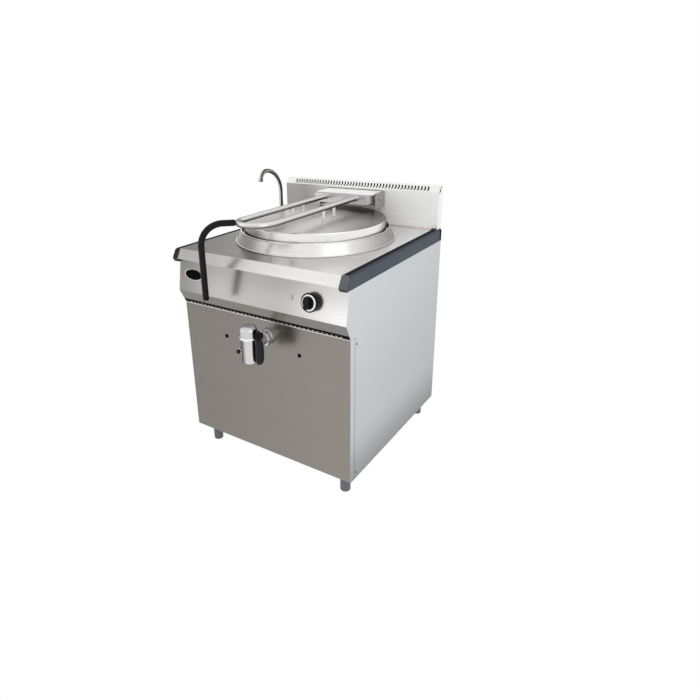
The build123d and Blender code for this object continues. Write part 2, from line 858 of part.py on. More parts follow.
# Tap body: upright barrel with the plug bore above the spout
with BuildPart() as tap_body:
    with BuildSketch(Plane.XY.offset(tap_bottom_z)):
        with Locations((drain_x, tap_y)):
            Circle(tap_body_radius)
    extrude(amount=tap_top_z - tap_bottom_z)
    fillet(tap_body.edges().group_by(Axis.Z)[0], radius=tap_body_round)
    with BuildSketch(facing_front(tap_mid_y)):
        with Locations((drain_x, drain_height)):
            Circle(drain_outer)
    extrude(amount=tap_mid_y - tap_y)
    with BuildSketch(Plane.XY.offset(tap_bottom_z)):
        with Locations((drain_x, tap_y)):
            Circle(tap_bore)
    extrude(amount=tap_top_z - tap_bottom_z, mode=Mode.SUBTRACT)
    with BuildSketch(Plane.XY.offset(tap_bottom_z)):
        with Locations((drain_x, tap_y)):
            Circle(spout_mouth_bore)
    extrude(amount=spout_mouth_depth, mode=Mode.SUBTRACT)
    with BuildSketch(facing_front(tap_mid_y)):
        with Locations((drain_x, drain_height)):
            Circle(tap_port)
    extrude(amount=tap_mid_y - tap_y, mode=Mode.SUBTRACT)
tap_body.part.label = "tap_body"
export_step(tap_body.part, "parts/tap_body.step")

# Plug: turns in the barrel; its port elbows from the side to the spout
with BuildPart() as drain_plug:
    with BuildSketch(Plane.XY.offset(drain_height - plug_bottom)):
        with Locations((drain_x, tap_y)):
            Circle(tap_bore - plug_clearance)
    extrude(amount=cap_bottom_z - drain_height + plug_bottom)
    with BuildSketch(Plane.XY.offset(drain_height - plug_bottom)):
        with Locations((drain_x, tap_y)):
            Circle(tap_port - touch_gap)
    extrude(amount=plug_bottom, mode=Mode.SUBTRACT)
    with BuildSketch(Plane.YZ.offset(drain_x - 2 * tap_bore)):
        with Locations((tap_y, drain_height)):
            Circle(tap_port)
    extrude(amount=2 * tap_bore + tap_port, mode=Mode.SUBTRACT)
drain_plug.part.label = "drain_plug"
export_step(drain_plug.part, "parts/drain_plug.step")

# Cap: domed top of the plug, with a fork that carries the grip
grip_x = drain_x + grip_offset
fork_top_z = cap_bottom_z + cap_skirt
with BuildPart() as drain_cap:
    with BuildSketch(Plane.XY.offset(cap_bottom_z)):
        with Locations((drain_x, tap_y)):
            Circle(cap_radius)
    extrude(amount=cap_skirt + cap_dome)
    fillet(drain_cap.edges().group_by(Axis.Z)[-1], radius=cap_dome)
    with Locations((drain_x + grip_offset / 2, tap_y, fork_top_z - grip_thickness / 2)):
        Box(grip_offset + grip_thickness, grip_thickness, grip_thickness)
    with Locations((grip_x, tap_y, fork_top_z - grip_thickness / 2)):
        Box(grip_thickness, grip_neck, 2 * grip_thickness, mode=Mode.SUBTRACT)
drain_cap.part.label = "drain_cap"
export_step(drain_cap.part, "parts/drain_cap.step")

# Grip: moulded paddle that hangs from the fork beside the barrel
grip_top_z = drain_height + grip_top
grip_bottom_z = grip_top_z - grip_length
with BuildPart() as drain_grip:
    with BuildSketch(Plane.YZ.offset(grip_x - grip_thickness / 2)):
        with BuildLine():
            Polyline(
                (tap_y - grip_neck / 2, grip_top_z),
                (tap_y + grip_neck / 2, grip_top_z),
                (tap_y + grip_neck / 2, fork_top_z - grip_thickness),
                (tap_y + grip_width / 2, grip_bottom_z + grip_length / 3),
                (tap_y + grip_width / 2, grip_bottom_z),
                (tap_y - grip_width / 2, grip_bottom_z),
                (tap_y - grip_width / 2, grip_bottom_z + grip_length / 3),
                (tap_y - grip_neck / 2, fork_top_z - grip_thickness),
                close=True,
            )
        make_face()
    extrude(amount=grip_thickness)
    lower = drain_grip.edges().filter_by(Axis.X).group_by(Axis.Z)[0]
    fillet(lower, radius=grip_width / 3)
drain_grip.part.label = "drain_grip"
export_step(drain_grip.part, "parts/drain_grip.step")

# Level cock: tapping from the bottom of the jacket
with BuildPart() as jacket_cock_body:
    with BuildLine() as cock_line:
        FilletPolyline(
            (cock_x, front_y - cock_reach, cock_height),
            (cock_x, cock_back_y, cock_height),
            (cock_x, cock_back_y, jacket_floor),
            radius=cock_elbow,
        )
    with BuildSketch(facing_front(front_y - cock_reach)):
        with Locations((cock_x, cock_height)):
            Circle(cock_radius)
            Circle(cock_bore, mode=Mode.SUBTRACT)
    sweep(path=cock_line.wire())
    with BuildSketch(facing_front(front_y)):
        with Locations((cock_x, cock_height)):
            Circle(cock_flange_radius)
            Circle(cock_radius, mode=Mode.SUBTRACT)
    extrude(amount=cock_flange_thickness)
    with BuildSketch(Plane.XY.offset(cock_height)):
        with Locations((cock_x, front_y - (cock_reach + cock_flange_thickness) / 2)):
            Circle(cock_bore / 2)
    extrude(amount=-2 * cock_radius, mode=Mode.SUBTRACT)
jacket_cock_body.part.label = "jacket_cock_body"
export_step(jacket_cock_body.part, "parts/jacket_cock_body.step")

with BuildPart() as jacket_cock_knob:
    with BuildSketch(facing_front(front_y - cock_reach - touch_gap)):
        with Locations((cock_x, cock_height)):
            Circle(cock_knob_radius)
    extrude(amount=cock_knob_length)
    fillet(jacket_cock_knob.edges().group_by(Axis.Y)[0], radius=sheet)
    with BuildSketch(facing_front(front_y - cock_reach - touch_gap)):
        with Locations((cock_x, cock_height)):
            Circle(cock_bore - plug_clearance)
    extrude(amount=-cock_stem_length)
jacket_cock_knob.part.label = "jacket_cock_knob"
export_step(jacket_cock_knob.part, "parts/jacket_cock_knob.step")

# ---------------------------------------------------------------- controls
# Selector switch behind the control panel, its bushing flush with the face
with BuildPart() as selector_switch:
    with BuildSketch(control_plane.offset(-sheet)):
        with Locations((knob_x, control_row)):
            Rectangle(switch_size, switch_size)
    extrude(amount=-switch_depth)
    with BuildSketch(control_plane.offset(-sheet)):
        with Locations((knob_x, control_row)):
            Circle(bushing_radius)
    extrude(amount=sheet)
    with BuildSketch(control_plane):
        with Locations((knob_x, control_row)):
            Circle(knob_shaft_radius)
    extrude(amount=knob_height - knob_ring_height)
selector_switch.part.label = "selector_switch"
export_step(selector_switch.part, "parts/selector_switch.step")

# Knob: stepped body with a grip bar, bored for the shaft
knob_base = control_plane.offset(touch_gap)
with BuildPart() as knob_body:
    with BuildSketch(knob_base):
        with Locations((knob_x, control_row)):
            Circle(knob_radius - knob_taper)
    extrude(amount=knob_height - knob_ring_height)
    with BuildSketch(knob_base):
        with Locations((knob_x, control_row)):
            Circle(knob_hub_radius)
    extrude(amount=knob_height)
    with BuildSketch(knob_base.offset(knob_height)):
        with Locations((knob_x, control_row)):
            SlotOverall(knob_grip_length, knob_grip_width, rotation=90)
    extrude(amount=knob_grip_height)
    fillet(knob_body.faces().sort_by(Axis(knob_base.origin, knob_base.z_dir))[-1].edges(), radius=knob_taper)
    with BuildSketch(knob_base):
        with Locations((knob_x, control_row)):
            Circle(knob_shaft_radius + pin_clearance)
    extrude(amount=knob_height - knob_ring_height, mode=Mode.SUBTRACT)
knob_body.part.label = "knob_body"
export_step(knob_body.part, "parts/knob_body.step")

# Ring: sloping collar seated on the knob's step, round its hub
knob_section = Plane(
    origin=knob_base.from_local_coords((knob_x, control_row, knob_height - knob_ring_height)),
    x_dir=knob_base.x_dir,
    z_dir=-knob_base.y_dir,
)
with BuildPart() as knob_ring:
    with BuildSketch(knob_section):
        with BuildLine():
            Polyline(
                (knob_hub_radius, 0),
                (knob_radius, 0),
                (knob_radius, knob_ring_edge),
                (knob_hub_radius, knob_ring_height),
                close=True,
            )
        make_face()
    revolve(axis=Axis(knob_section.origin, knob_base.z_dir))
knob_ring.part.label = "knob_ring"
export_step(knob_ring.part, "parts/knob_ring.step")

with BuildPart() as pilot_lamp:
    with BuildSketch(control_plane):
        with Locations((lamp_x, control_row)):
            Circle(lamp_flange_radius)
    extrude(amount=lamp_dome)
    fillet(
        pilot_lamp.faces().sort_by(Axis(control_plane.origin, control_plane.z_dir))[-1].edges(),
        radius=lamp_dome - sheet,
    )
    with BuildSketch(control_plane):
        with Locations((lamp_x, control_row)):
            Circle(lamp_radius)
    extrude(amount=-lamp_barrel)
pilot_lamp.part.label = "pilot_lamp"
export_step(pilot_lamp.part, "parts/pilot_lamp.step")

# ---------------------------------------------------------------- filling tap
socket_z = worktop_height + faucet_body_height - spout_socket
lever_z = worktop_height + lever_height
with BuildPart() as faucet_base:
    with BuildSketch(Plane.XY.offset(worktop_height)):
        with Locations((faucet_x, faucet_y)):
            Circle(faucet_flange_radius)
    extrude(amount=faucet_flange_height)
    fillet(faucet_base.edges().group_by(Axis.Z)[-1], radius=faucet_flange_height / 2)
    with BuildSketch(Plane.XY.offset(worktop_height)):
        with Locations((faucet_x, faucet_y)):
            Circle(faucet_body_radius)
    extrude(amount=faucet_body_height)
    with BuildSketch(Plane.XY.offset(worktop_height)):
        with Locations((faucet_x, faucet_y)):
            Circle(faucet_shank_radius)
    extrude(amount=-faucet_shank_length)
    with BuildSketch(Plane.XY.offset(socket_z)):
        with Locations((faucet_x, faucet_y)):
            Circle(spout_radius + pin_clearance)
    extrude(amount=spout_socket, mode=Mode.SUBTRACT)
    with BuildSketch(Plane.XY.offset(worktop_height - faucet_shank_length)):
        with Locations((faucet_x, faucet_y)):
            Circle(water_bore)
    extrude(amount=faucet_shank_length + faucet_body_height, mode=Mode.SUBTRACT)
    with BuildSketch(facing_front(faucet_y - faucet_body_radius + lever_stem_length)):
        with Locations((faucet_x, lever_z)):
            Circle(lever_stem_radius + pin_clearance)
    extrude(amount=2 * faucet_body_radius, mode=Mode.SUBTRACT)
faucet_base.part.label = "faucet_base"
export_step(faucet_base.part, "parts/faucet_base.step")

# Lever: quarter-turn blade on the side of the tap body
lever_y = faucet_y - faucet_body_radius - touch_gap
with BuildPart() as faucet_lever:
    with BuildSketch(facing_front(lever_y)):
        with Locations((faucet_x, lever_z)):
            Circle(lever_hub_radius)
    extrude(amount=lever_hub_length)
    with BuildSketch(facing_front(lever_y + lever_stem_length - pin_clearance)):
        with Locations((faucet_x, lever_z)):
            Circle(lever_stem_radius)
    extrude(amount=lever_stem_length)
    with BuildSketch(facing_front(lever_y - lever_hub_length + lever_thickness)):
        with Locations((faucet_x, lever_z + lever_blade / 2)):
            SlotOverall(lever_blade + 2 * lever_hub_radius, 2 * lever_stem_radius, rotation=90)
    extrude(amount=lever_thickness)
faucet_lever.part.label = "faucet_lever"
export_step(faucet_lever.part, "parts/faucet_lever.step")

# Spout: upright tube bent over twice, with a flared outlet and a collar on the tap body
spout_top_z = worktop_height + spout_top
spout_foot_z = socket_z + touch_gap
spout_crown_y = faucet_y - spout_back_bend
collar_z = worktop_height + faucet_body_height + touch_gap
last_turn = radians(spout_last_turn)
outlet_y = spout_crown_y - spout_front_bend * sin(last_turn)
outlet_z = spout_top_z - spout_front_bend * (1 - cos(last_turn))
outlet_plane = Plane(
    origin=(faucet_x, outlet_y, outlet_z),
    x_dir=(1, 0, 0),
    z_dir=(0, -cos(last_turn), -sin(last_turn)),
)
with BuildPart() as spout:
    with BuildLine(Plane.YZ.offset(faucet_x)) as spout_line:
        Line((faucet_y, spout_foot_z), (faucet_y, spout_top_z - spout_back_bend))
        CenterArc((spout_crown_y, spout_top_z - spout_back_bend), spout_back_bend, 0, 90)
        CenterArc(
            (spout_crown_y, spout_top_z - spout_front_bend),
            spout_front_bend,
            90,
            spout_last_turn,
        )
    with BuildSketch(Plane.XY.offset(spout_foot_z)):
        with Locations((faucet_x, faucet_y)):
            Circle(spout_radius)
    sweep(path=spout_line.wire())
    with BuildSketch(outlet_plane):
        Circle(spout_outlet_radius)
    extrude(amount=spout_outlet_length)
    with BuildSketch(Plane.XY.offset(collar_z)):
        with Locations((faucet_x, faucet_y)):
            Circle(spout_collar_radius)
    extrude(amount=spout_collar_height)
    fillet(spout.edges().filter_by(GeomType.CIRCLE).filter_by(
        lambda edge: edge.radius == spout_collar_radius), radius=sheet)
    with BuildSketch(Plane.XY.offset(spout_foot_z)):
        with Locations((faucet_x, faucet_y)):
            Circle(spout_bore)
    sweep(path=spout_line.wire(), mode=Mode.SUBTRACT)
    with BuildSketch(outlet_plane):
        Circle(spout_bore)
    extrude(amount=spout_outlet_length, mode=Mode.SUBTRACT)
spout.part.label = "spout"
export_step(spout.part, "parts/spout.step")

# Water pipe from the threaded inlet under the floor up to the tap shank
pipe_top_z = worktop_height - faucet_shank_length
inlet_z = floor_z - inlet_collar_height - inlet_length
with BuildPart() as water_pipe:
    with BuildSketch(Plane.XY.offset(floor_z)):
        with Locations((faucet_x, faucet_y)):
            Circle(water_pipe_radius)
    extrude(amount=pipe_top_z - floor_z)
    with BuildSketch(Plane.XY.offset(floor_z)):
        with Locations((faucet_x, faucet_y)):
            Circle(inlet_collar_radius)
    extrude(amount=-inlet_collar_height)
    with BuildSketch(Plane.XY.offset(inlet_z)):
        with Locations((faucet_x, faucet_y)):
            Circle(inlet_radius)
    extrude(amount=inlet_length)
    with BuildSketch(Plane.XY.offset(inlet_z)):
        with Locations((faucet_x, faucet_y)):
            Circle(water_bore)
    extrude(amount=pipe_top_z - inlet_z, mode=Mode.SUBTRACT)
water_pipe.part.label = "water_pipe"
export_step(water_pipe.part, "parts/water_pipe.step")

# ---------------------------------------------------------------- electrics
# Cable gland through the base tray
with BuildPart() as cable_gland:
    with BuildSketch(Plane.XY.offset(floor_z - gland_cap_length)):
        with Locations((gland_x, gland_y)):
            Circle(gland_cap_radius)
    extrude(amount=gland_cap_length)
    with BuildSketch(Plane.XY.offset(floor_z)):
        with Locations((gland_x, gland_y)):
            Circle(gland_radius)
    extrude(amount=sheet + gland_inner_length)
    with BuildSketch(Plane.XY.offset(floor_z - gland_cap_length)):
        with Locations((gland_x, gland_y)):
            Circle(gland_bore)
    extrude(amount=gland_cap_length + sheet + gland_inner_length, mode=Mode.SUBTRACT)
cable_gland.part.label = "cable_gland"
export_step(cable_gland.part, "parts/cable_gland.step")

with BuildPart() as terminal_box:
    with Locations((gland_x, gland_y - box_depth, floor_z + sheet + box_height / 2)):
        Box(box_width, box_depth, box_height)
    offset(amount=-sheet, openings=terminal_box.faces().sort_by(Axis.Y)[-1])
terminal_box.part.label = "terminal_box"
export_step(terminal_box.part, "parts/terminal_box.step")

# ---------------------------------------------------------------- lid
def lid_form(inset):
    """Solid filled by the lid, with every surface moved in by inset."""
    edge_z = lid_edge_z - inset
    radius = lid_radius - inset
    with BuildPart() as form:
        with BuildSketch(kettle_plane) as profile:
            with BuildLine():
                Line((0, lid_skirt_z - inset), (radius, lid_skirt_z - inset))
                Line((radius, lid_skirt_z - inset), (radius, edge_z))
                Bezier(
                    (radius, edge_z),
                    (radius / 2, edge_z + lid_crown),
                    (0, edge_z + lid_crown),
                )
                Line((0, edge_z + lid_crown), (0, lid_skirt_z - inset))
            make_face()
            shoulder = profile.vertices().group_by(Axis.X)[-1].sort_by(Axis.Y)[-1]
            fillet(shoulder, radius=lid_edge_round - inset)
        revolve(axis=kettle_axis)
    return form.part


lid_envelope = lid_form(0)
with BuildPart() as lid_shell:
    add(lid_envelope)
    add(lid_form(lid_sheet), mode=Mode.SUBTRACT)
lid_shell.part.label = "lid_shell"
export_step(lid_shell.part, "parts/lid_shell.step")

# Arms: one tube bent into a U that runs from the crossbar round the front of the lid
with BuildPart() as arm_envelope:
    with BuildLine(Plane.XY.offset(arm_z)) as arm_line:
        Line((arm_half_spacing, crossbar_front_y), (arm_half_spacing, loop_y))
        CenterArc((0, loop_y), arm_half_spacing, 0, -180)
        Line((-arm_half_spacing, loop_y), (-arm_half_spacing, crossbar_front_y))
    with BuildSketch(facing_front(crossbar_front_y)):
        with Locations((arm_half_spacing, arm_z)):
            Circle(arm_tube_radius)
    sweep(path=arm_line.wire())

with BuildPart() as lid_arms:
    add(arm_envelope.part)
    with BuildSketch(facing_front(crossbar_front_y)):
        with Locations((arm_half_spacing, arm_z)):
            Circle(arm_tube_radius - arm_wall)
    sweep(path=arm_line.wire(), mode=Mode.SUBTRACT)
lid_arms.part.label = "lid_arms"
export_step(lid_arms.part, "parts/lid_arms.step")

# Posts: spacers from the lid's crown up to the arms
post_y = kettle_y - post_offset
post_places = [
    (-arm_half_spacing, post_y - post_spread),
    (arm_half_spacing, post_y - post_spread),
    (-arm_half_spacing, post_y + post_spread),
    (arm_half_spacing, post_y + post_spread),
]
for number, (x, y) in enumerate(post_places, start=1):
    with BuildPart() as lid_post:
        with BuildSketch(Plane.XY.offset(lid_edge_z)):
            with Locations((x, y)):
                Circle(post_radius)
        extrude(amount=arm_z - lid_edge_z)
        add(lid_envelope, mode=Mode.SUBTRACT)
        add(arm_envelope.part, mode=Mode.SUBTRACT)
    lid_post.part.label = f"lid_post_{number}"
    export_step(lid_post.part, f"parts/lid_post_{number}.step")

# Handle: bent rod that leaves the loop square to its bend, then drops in front of the cabinet
loop_side = atan2(loop_y - handle_y, -handle_x)
handle_start = (
    -arm_half_spacing * cos(loop_side),
    loop_y - arm_half_spacing * sin(loop_side),
    arm_z,
)
handle_corner = (handle_x, handle_y, arm_z)
start_plane = Plane(
    origin=handle_start,
    x_dir=(0, 0, 1),
    z_dir=(-cos(loop_side), -sin(loop_side), 0),
)
with BuildPart() as handle_rod:
    with BuildLine() as handle_line:
        FilletPolyline(
            handle_start,
            handle_corner,
            (handle_x, handle_y, handle_bottom + sleeve_end),
            radius=handle_bend,
        )
    with BuildSketch(start_plane):
        Circle(handle_rod_radius)
    sweep(path=handle_line.wire())
    add(arm_envelope.part, mode=Mode.SUBTRACT)
handle_rod.part.label = "handle_rod"
export_step(handle_rod.part, "parts/handle_rod.step")

# Sleeve: black grip over the handle rod, closed by a round end
sleeve_offset = arm_tube_radius + touch_gap
with BuildPart() as handle_sleeve:
    with BuildLine() as sleeve_line:
        FilletPolyline(
            (
                handle_start[0] - sleeve_offset * cos(loop_side),
                handle_start[1] - sleeve_offset * sin(loop_side),
                arm_z,
            ),
            handle_corner,
            (handle_x, handle_y, handle_bottom),
            radius=handle_bend,
        )
    with BuildSketch(start_plane.offset(sleeve_offset)):
        Circle(handle_rod_radius + sleeve_wall)
    sweep(path=sleeve_line.wire())
    fillet(handle_sleeve.edges().sort_by(Axis.Z)[0], radius=2 * sleeve_wall)
    with BuildSketch(start_plane):
        Circle(handle_rod_radius)
    sweep(path=handle_line.wire(), mode=Mode.SUBTRACT)
handle_sleeve.part.label = "handle_sleeve"
export_step(handle_sleeve.part, "parts/handle_sleeve.step")

# ---------------------------------------------------------------- hinge
# Crossbar: channel that carries the arms and bolts to the hub
with BuildPart() as crossbar:
    with Locations((
        0,
        (crossbar_front_y + crossbar_back_y) / 2,
        (crossbar_top + crossbar_bottom) / 2,
    )):
        Box(crossbar_length, crossbar_depth, crossbar_height)
    offset(amount=-crossbar_wall, openings=crossbar.faces().sort_by(Axis.Z)[0])
crossbar.part.label = "crossbar"
export_step(crossbar.part, "parts/crossbar.step")

# Hub: tube round the hinge axis with a bushing in each end and ears to the crossbar
hub_radius = crossbar_top - axis_z
hub_half_length = cover_half_width
pin_end_x = hub_half_length - pin_reach
side_plane = Plane.YZ.offset(-hub_half_length)
with BuildPart() as hinge_hub:
    with BuildSketch(side_plane):
        with Locations((axis_y, axis_z)):
            Circle(hub_radius)
    extrude(amount=2 * hub_half_length)
    for x in (-crossbar_length / 2, crossbar_length / 2 - ear_plate):
        with BuildSketch(Plane.YZ.offset(x)):
            with Locations(((crossbar_back_y + axis_y) / 2, (crossbar_top + crossbar_bottom) / 2)):
                Rectangle(axis_y - crossbar_back_y, crossbar_height)
        extrude(amount=ear_plate)
    with BuildSketch(side_plane):
        with Locations((axis_y, axis_z)):
            Circle(pin_radius + pin_clearance)
    extrude(amount=2 * hub_half_length, mode=Mode.SUBTRACT)
    with BuildSketch(Plane.YZ.offset(-pin_end_x)):
        with Locations((axis_y, axis_z)):
            Circle(hub_radius - hub_wall)
    extrude(amount=2 * pin_end_x, mode=Mode.SUBTRACT)
hinge_hub.part.label = "hinge_hub"
export_step(hinge_hub.part, "parts/hinge_hub.step")

# Cover plate over the crossbar and the hub
with BuildPart() as hinge_cover:
    with BuildSketch(Plane.XY.offset(crossbar_top)):
        with Locations((0, back_y - (cover_front_inset + cover_back_inset) / 2)):
            Rectangle(2 * cover_half_width, cover_front_inset - cover_back_inset)
    extrude(amount=cover_sheet)
hinge_cover.part.label = "hinge_cover"
export_step(hinge_cover.part, "parts/hinge_cover.step")

# Torsion bar: counterbalance for the lid, keyed to the hub at one end
with BuildPart() as torsion_bar:
    with BuildSketch(Plane.YZ.offset(touch_gap - pin_end_x)):
        with Locations((axis_y, axis_z)):
            Circle(torsion_bar_radius)
    extrude(amount=2 * pin_end_x - pin_reach)
    with BuildSketch(Plane.YZ.offset(pin_end_x - pin_reach)):
        with Locations((axis_y, axis_z)):
            Circle(hub_radius - hub_wall)
    extrude(amount=pin_reach / 2)
torsion_bar.part.label = "torsion_bar"
export_step(torsion_bar.part, "parts/torsion_bar.step")

# Bracket: cheeks on the backsplash that hold the hinge pins
with BuildPart() as hinge_bracket:
    with BuildSketch(Plane.XY.offset(cheek_bottom_z)):
        with BuildLine():
            Polyline(
                (-cheek_half_width, cheek_front_y),
                (-cheek_half_width, splash_front_y),
                (cheek_half_width, splash_front_y),
                (cheek_half_width, cheek_front_y),
            )
            offset(amount=cheek_sheet, side=Side.RIGHT, kind=Kind.INTERSECTION)
        make_face()
    extrude(amount=cheek_height)
    with BuildSketch(Plane.YZ.offset(-half_width)):
        with Locations((axis_y, axis_z)):
            Circle(pin_radius)
    extrude(amount=cabinet_width, mode=Mode.SUBTRACT)
hinge_bracket.part.label = "hinge_bracket"
export_step(hinge_bracket.part, "parts/hinge_bracket.step")

with BuildPart() as pivot_pin_right:
    with BuildSketch(Plane.YZ.offset(pin_end_x)):
        with Locations((axis_y, axis_z)):
            Circle(pin_radius)
    extrude(amount=cheek_half_width - pin_end_x)
    with BuildSketch(Plane.YZ.offset(cheek_half_width)):
        with Locations((axis_y, axis_z)):
            Circle(pin_head_radius)
    extrude(amount=pin_head_height)
    fillet(pivot_pin_right.edges().group_by(Axis.X)[-1], radius=sheet)
pivot_pin_right.part.label = "pivot_pin_right"
export_step(pivot_pin_right.part, "parts/pivot_pin_right.step")

with BuildPart() as pivot_pin_left:
    mirror(pivot_pin_right.part, about=Plane.YZ)
pivot_pin_left.part.label = "pivot_pin_left"
export_step(pivot_pin_left.part, "parts/pivot_pin_left.step")
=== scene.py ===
import math

import bpy
from bpy.props import FloatProperty, FloatVectorProperty, PointerProperty
from bpy.types import Operator, Panel, PropertyGroup
from mathutils import Matrix, Vector


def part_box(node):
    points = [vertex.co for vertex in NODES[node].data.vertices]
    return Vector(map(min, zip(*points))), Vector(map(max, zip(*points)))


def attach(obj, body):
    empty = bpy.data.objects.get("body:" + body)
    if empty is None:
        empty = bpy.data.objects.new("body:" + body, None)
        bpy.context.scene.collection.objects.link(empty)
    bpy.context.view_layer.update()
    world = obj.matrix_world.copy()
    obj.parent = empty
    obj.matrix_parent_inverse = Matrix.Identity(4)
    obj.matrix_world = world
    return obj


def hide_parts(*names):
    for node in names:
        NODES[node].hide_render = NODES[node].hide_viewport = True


bl_info = {
    "name": "Jacketed boiling kettle",
    "version": (1, 0, 0),
    "blender": (4, 5, 0),
    "location": "3D View > Sidebar > Kettle",
    "description": "Finishes and small parts of a freestanding jacketed kettle",
    "category": "Add Mesh",
}

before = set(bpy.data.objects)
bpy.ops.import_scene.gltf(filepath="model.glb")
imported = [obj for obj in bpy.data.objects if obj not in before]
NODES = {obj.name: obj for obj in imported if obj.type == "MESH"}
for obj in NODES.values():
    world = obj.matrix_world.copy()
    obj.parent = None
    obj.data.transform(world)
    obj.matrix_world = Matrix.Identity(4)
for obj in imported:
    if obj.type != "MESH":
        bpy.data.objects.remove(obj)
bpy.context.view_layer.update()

# ------------------------------------------------------------------ places read from the frame
LID_LOW, LID_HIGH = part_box("lid_shell")
KETTLE_AXIS = (LID_LOW + LID_HIGH) / 2
FRONT_LOW, FRONT_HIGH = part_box("front_panel")
CONTROL_LOW, CONTROL_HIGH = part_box("control_panel")
TOP_LOW, TOP_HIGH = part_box("worktop")
SPLASH_LOW, SPLASH_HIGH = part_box("backsplash")


# ------------------------------------------------------------------ settings
class StageSettings(PropertyGroup):
    """Camera, lamps and surroundings."""

    camera_place: FloatVectorProperty(
        name="Camera place", description="Where the camera stands", size=3,
        subtype="TRANSLATION", unit="LENGTH", default=(1.2762, -1.85565, 1.4704))
    camera_yaw: FloatProperty(
        name="Camera yaw", description="Turn of the view about the vertical", subtype="ANGLE",
        unit="ROTATION", default=0.62919)
    camera_pitch: FloatProperty(
        name="Camera pitch", description="How far the view looks down", subtype="ANGLE",
        unit="ROTATION", default=0.35608)
    camera_roll: FloatProperty(
        name="Camera roll", description="Tilt of the horizon", subtype="ANGLE",
        unit="ROTATION", default=-0.035483)
    camera_lens: FloatProperty(
        name="Focal length", description="Focal length on a 36 mm sensor", unit="CAMERA", default=28.694)
    camera_shift: FloatVectorProperty(
        name="Lens shift", description="Shift of the picture across and up", size=2,
        default=(0.0805, -0.0621), precision=4)
    key_power: FloatProperty(
        name="Key power", description="Power of the lamp on the operator's right", unit="POWER", default=10.0)
    fill_power: FloatProperty(
        name="Fill power", description="Power of the lamp on the operator's left", unit="POWER", default=4.0)
    world_level: FloatProperty(
        name="Surround level", description="Brightness of the light from all round", default=0.95, min=0.0)
    floor_colour: FloatVectorProperty(
        name="Floor colour", description="Colour of the floor", subtype="COLOR", size=3,
        default=(0.92, 0.92, 0.92), min=0.0, max=1.0)


class KettleFinishes(PropertyGroup):
    """Colours of the finishes."""

    # The front steel is the side steel painted darker: its darker tone is painted shade.
    front_steel: FloatVectorProperty(
        name="Front steel", description="Brushed front panel", subtype="COLOR", size=3,
        default=(0.262, 0.243, 0.222), min=0.0, max=1.0)
    side_steel: FloatVectorProperty(
        name="Side steel", description="Side panels", subtype="COLOR", size=3,
        default=(0.65, 0.67, 0.69), min=0.0, max=1.0)
    trim_grey: FloatVectorProperty(
        name="Trim grey", description="Side trims of the worktop", subtype="COLOR", size=3,
        default=(0.085, 0.096, 0.118), min=0.0, max=1.0)
    moulding_black: FloatVectorProperty(
        name="Moulding black", description="Grips, knob and caps", subtype="COLOR", size=3,
        default=(0.010, 0.010, 0.012), min=0.0, max=1.0)
    plate_chrome: FloatVectorProperty(
        name="Chrome", description="Taps, pins and rings", subtype="COLOR", size=3,
        default=(0.62, 0.63, 0.64), min=0.0, max=1.0)


class KettleDetails(PropertyGroup):
    """Sizes of the small parts that are added to the frame."""

    badge_length: FloatProperty(
        name="Badge length", description="Length of the blank oval badge", unit="LENGTH", default=0.101)
    badge_height: FloatProperty(
        name="Badge height", description="Height of the blank oval badge", unit="LENGTH", default=0.045)
    screw_radius: FloatProperty(
        name="Screw radius", description="Head radius of the side screws", unit="LENGTH", default=0.004)
    weld_width: FloatProperty(
        name="Weld width", description="Width of a weld bead", unit="LENGTH", default=0.0025)
    strip_depth: FloatProperty(
        name="Strip depth", description="Depth of the joint strip behind the worktop", unit="LENGTH",
        default=0.009)
    strip_height: FloatProperty(
        name="Strip height", description="Height of the joint strip behind the worktop", unit="LENGTH",
        default=0.004)


# ------------------------------------------------------------------ shader groups
def new_group(name, inputs, outputs):
    group = bpy.data.node_groups.new(name, "ShaderNodeTree")
    for label, kind, value in inputs:
        socket = group.interface.new_socket(label, in_out="INPUT", socket_type=kind)
        socket.default_value = value
    for label, kind in outputs:
        group.interface.new_socket(label, in_out="OUTPUT", socket_type=kind)
    return group, group.nodes.new("NodeGroupInput"), group.nodes.new("NodeGroupOutput")


def link(tree, source, target):
    tree.links.new(source, target)


def grain_group():
    """Straight brushing: long fine streaks along one axis, with a slow cloudiness."""
    group, inp, out = new_group(
        "Brushed grain",
        [("Stretch", "NodeSocketVector", (3.0, 400.0, 400.0)), ("Cloud scale", "NodeSocketFloat", 3.0)],
        [("Streak", "NodeSocketFloat"), ("Cloud", "NodeSocketFloat")])
    place = group.nodes.new("ShaderNodeTexCoord")
    stretch = group.nodes.new("ShaderNodeVectorMath")
    stretch.operation = "MULTIPLY"
    streak = group.nodes.new("ShaderNodeTexNoise")
    streak.inputs["Scale"].default_value = 1.0
    streak.inputs["Detail"].default_value = 3.0
    streak.inputs["Roughness"].default_value = 0.6
    cloud = group.nodes.new("ShaderNodeTexNoise")
    cloud.inputs["Detail"].default_value = 2.0
    link(group, place.outputs["Object"], stretch.inputs[0])
    link(group, inp.outputs["Stretch"], stretch.inputs[1])
    link(group, stretch.outputs[0], streak.inputs["Vector"])
    link(group, place.outputs["Object"], cloud.inputs["Vector"])
    link(group, inp.outputs["Cloud scale"], cloud.inputs["Scale"])
    link(group, streak.outputs["Fac"], out.inputs["Streak"])
    link(group, cloud.outputs["Fac"], out.inputs["Cloud"])
    return group


